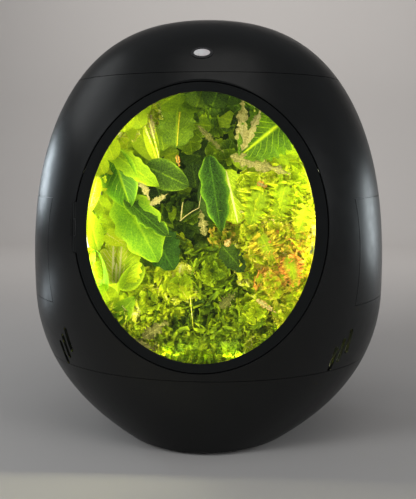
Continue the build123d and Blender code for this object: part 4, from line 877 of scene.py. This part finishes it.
def floor_and_wall():
    """Pale sweep: a floor that curves up into a wall."""
    profile = [(SWEEP_FRONT, 0.0), (SWEEP_BACK - SWEEP_RADIUS, 0.0)]
    for step in range(1, SWEEP_STEPS + 1):
        angle = math.pi / 2 * step / SWEEP_STEPS
        curve_y = SWEEP_BACK - SWEEP_RADIUS + SWEEP_RADIUS * math.sin(angle)
        profile.append((curve_y, SWEEP_RADIUS * (1 - math.cos(angle))))
    profile.append((SWEEP_BACK, SWEEP_TALL))
    verts = [(side * SWEEP_HALF_WIDTH, y, z) for y, z in profile for side in (-1, 1)]
    faces = [(2 * i, 2 * i + 1, 2 * i + 3, 2 * i + 2) for i in range(len(profile) - 1)]
    mesh = bpy.data.meshes.new("sweep")
    mesh.from_pydata(verts, [], faces)
    mesh.polygons.foreach_set("use_smooth", [True] * len(mesh.polygons))
    mesh.materials.append(plastic("sweep", (0.52, 0.50, 0.485), (0.54, 0.52, 0.505), rough=0.85, spread=0.03,
                                  grain=60.0, depth=0.0001, specular=0.2, cloud=0.6))
    sweep = bpy.data.objects.new("sweep", mesh)
    bpy.context.scene.collection.objects.link(sweep)


def softbox(name, place, aim, size, power, color, spread=math.pi):
    """Area lamp of the given width and height, in metres, and power, in watts, turned to its aim."""
    lamp = bpy.data.lights.new(name, "AREA")
    lamp.shape = "RECTANGLE"
    lamp.size, lamp.size_y = size
    lamp.energy, lamp.color, lamp.spread = power, color, spread
    thing = bpy.data.objects.new(name, lamp)
    bpy.context.scene.collection.objects.link(thing)
    thing.location = place
    thing.rotation_euler = (Vector(aim) - Vector(place)).to_track_quat("-Z", "Y").to_euler()
    return thing


def grow_lamp(name, place, aim, size, power):
    """Lamp that lights the leaves and isn't seen itself, also not as a reflection in the pane."""
    lamp = softbox(name, place, aim, size, power, GROW_LIGHT)
    lamp.visible_camera = lamp.visible_glossy = lamp.visible_transmission = False


floor_and_wall()

MIDDLE = (0, 0, 0.38)
RIM_SPREAD = math.radians(60)
STAGE_LAMPS = [
    dict(name="left_box", place=(-1.9, -1.5, 1.5), aim=MIDDLE, size=(0.8, 1.0), power=20,
         color=(0.94, 0.98, 1.0)),
    dict(name="high_left", place=(-2.0, 0.5, 2.0), aim=(-0.15, 0, 0.45), size=(1.1, 1.1), power=4.5,
         color=(0.96, 0.99, 1.0)),
    dict(name="right_front", place=(2.2, -1.5, 1.1), aim=MIDDLE, size=(1.2, 1.2), power=15,
         color=(0.97, 0.99, 1.0)),
    # the thin highlights at the edges of the shell
    dict(name="left_rim", place=(-1.83, 1.36, 0.64), aim=(-0.24, -0.1, 0.42), size=(0.26, 0.54), power=0.70,
         color=(0.80, 0.92, 1.0), spread=RIM_SPREAD),
    dict(name="low_rim", place=(-0.92, 0.21, 0.06), aim=(-0.24, -0.16, 0.25), size=(0.15, 0.09), power=0.022,
         color=(0.80, 0.92, 1.0), spread=RIM_SPREAD),
    dict(name="right_rim", place=(2.00, 1.20, 0.36), aim=(0.25, -0.1, 0.36), size=(0.44, 0.72), power=0.85,
         color=(0.86, 0.96, 1.0), spread=RIM_SPREAD),
    # from above, and on the wall behind
    dict(name="top_box", place=(0.3, -1.2, 3.0), aim=(0, 0, 0), size=(1.8, 1.4), power=8,
         color=(1.0, 0.98, 0.95)),
    dict(name="wall_box", place=(0.2, 1.5, 1.9), aim=(0.2, 3.2, 0.5), size=(3.0, 0.4), power=30,
         color=(1.0, 0.965, 0.93)),
]
for lamp in STAGE_LAMPS:
    softbox(**lamp)

# grow lights: one beside each upright bar, one below the tray and one low behind the pane
BAR_LAMP_X = 0.172
BAR_LAMP_FRONT = 0.024       # in front of the bar
BAR_LAMP_AIM = 0.13          # behind the lamp, on the middle plane
BAR_LAMP_SIZE = (0.012, 0.26)
BAR_POWER = {"left": 1.05, "right": 3.4}
TRAY_LAMP_DROP = 0.003
TRAY_LAMP_SIZE = (0.24, 0.10)
TRAY_LAMP_POWER = 0.6
LOW_LAMP_PLACE = (0.03, AXIS_Y - 0.156, 0.150)
LOW_LAMP_AIM = (0.03, AXIS_Y - 0.11, 0.24)
LOW_LAMP_SIZE = (0.24, 0.026)
LOW_LAMP_POWER = 0.50
# soft fills just behind the pane, each with its place across, its width and its power
FILL_DEPTH = 0.015
FILL_TALL = 0.30
FILLS = {"left": (-0.03, 0.16, 0.55), "right": (0.10, 0.09, 0.22)}

for hand, side in (("left", -1), ("right", 1)):
    low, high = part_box(f"light_bar_{hand}")
    front, level = low.y - BAR_LAMP_FRONT, (low.z + high.z) / 2
    grow_lamp(f"grow_{hand}", (side * BAR_LAMP_X, front, level), (0, front + BAR_LAMP_AIM, level),
              BAR_LAMP_SIZE, BAR_POWER[hand])
low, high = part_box("led_tray")
centre = (low + high) / 2
grow_lamp("grow_top", (centre.x, centre.y, low.z - TRAY_LAMP_DROP), (centre.x, centre.y, 0), TRAY_LAMP_SIZE,
          TRAY_LAMP_POWER)
grow_lamp("grow_low", LOW_LAMP_PLACE, LOW_LAMP_AIM, LOW_LAMP_SIZE, LOW_LAMP_POWER)
for hand, (across, width, power) in FILLS.items():
    place = FACE_ORIGIN + Vector((across, 0, 0)) - FACE_OUT * FILL_DEPTH
    grow_lamp(f"fill_{hand}", place, place - FACE_OUT, (width, FILL_TALL), power)

WORLD_COLOR = (0.72, 0.74, 0.78, 1)
WORLD_STRENGTH = 0.22
world = bpy.data.worlds.new("world")
world.use_nodes = True
background = world.node_tree.nodes["Background"]
background.inputs[0].default_value = WORLD_COLOR
background.inputs[1].default_value = WORLD_STRENGTH
bpy.context.scene.world = world
bpy.context.scene.view_settings.view_transform = "Standard"
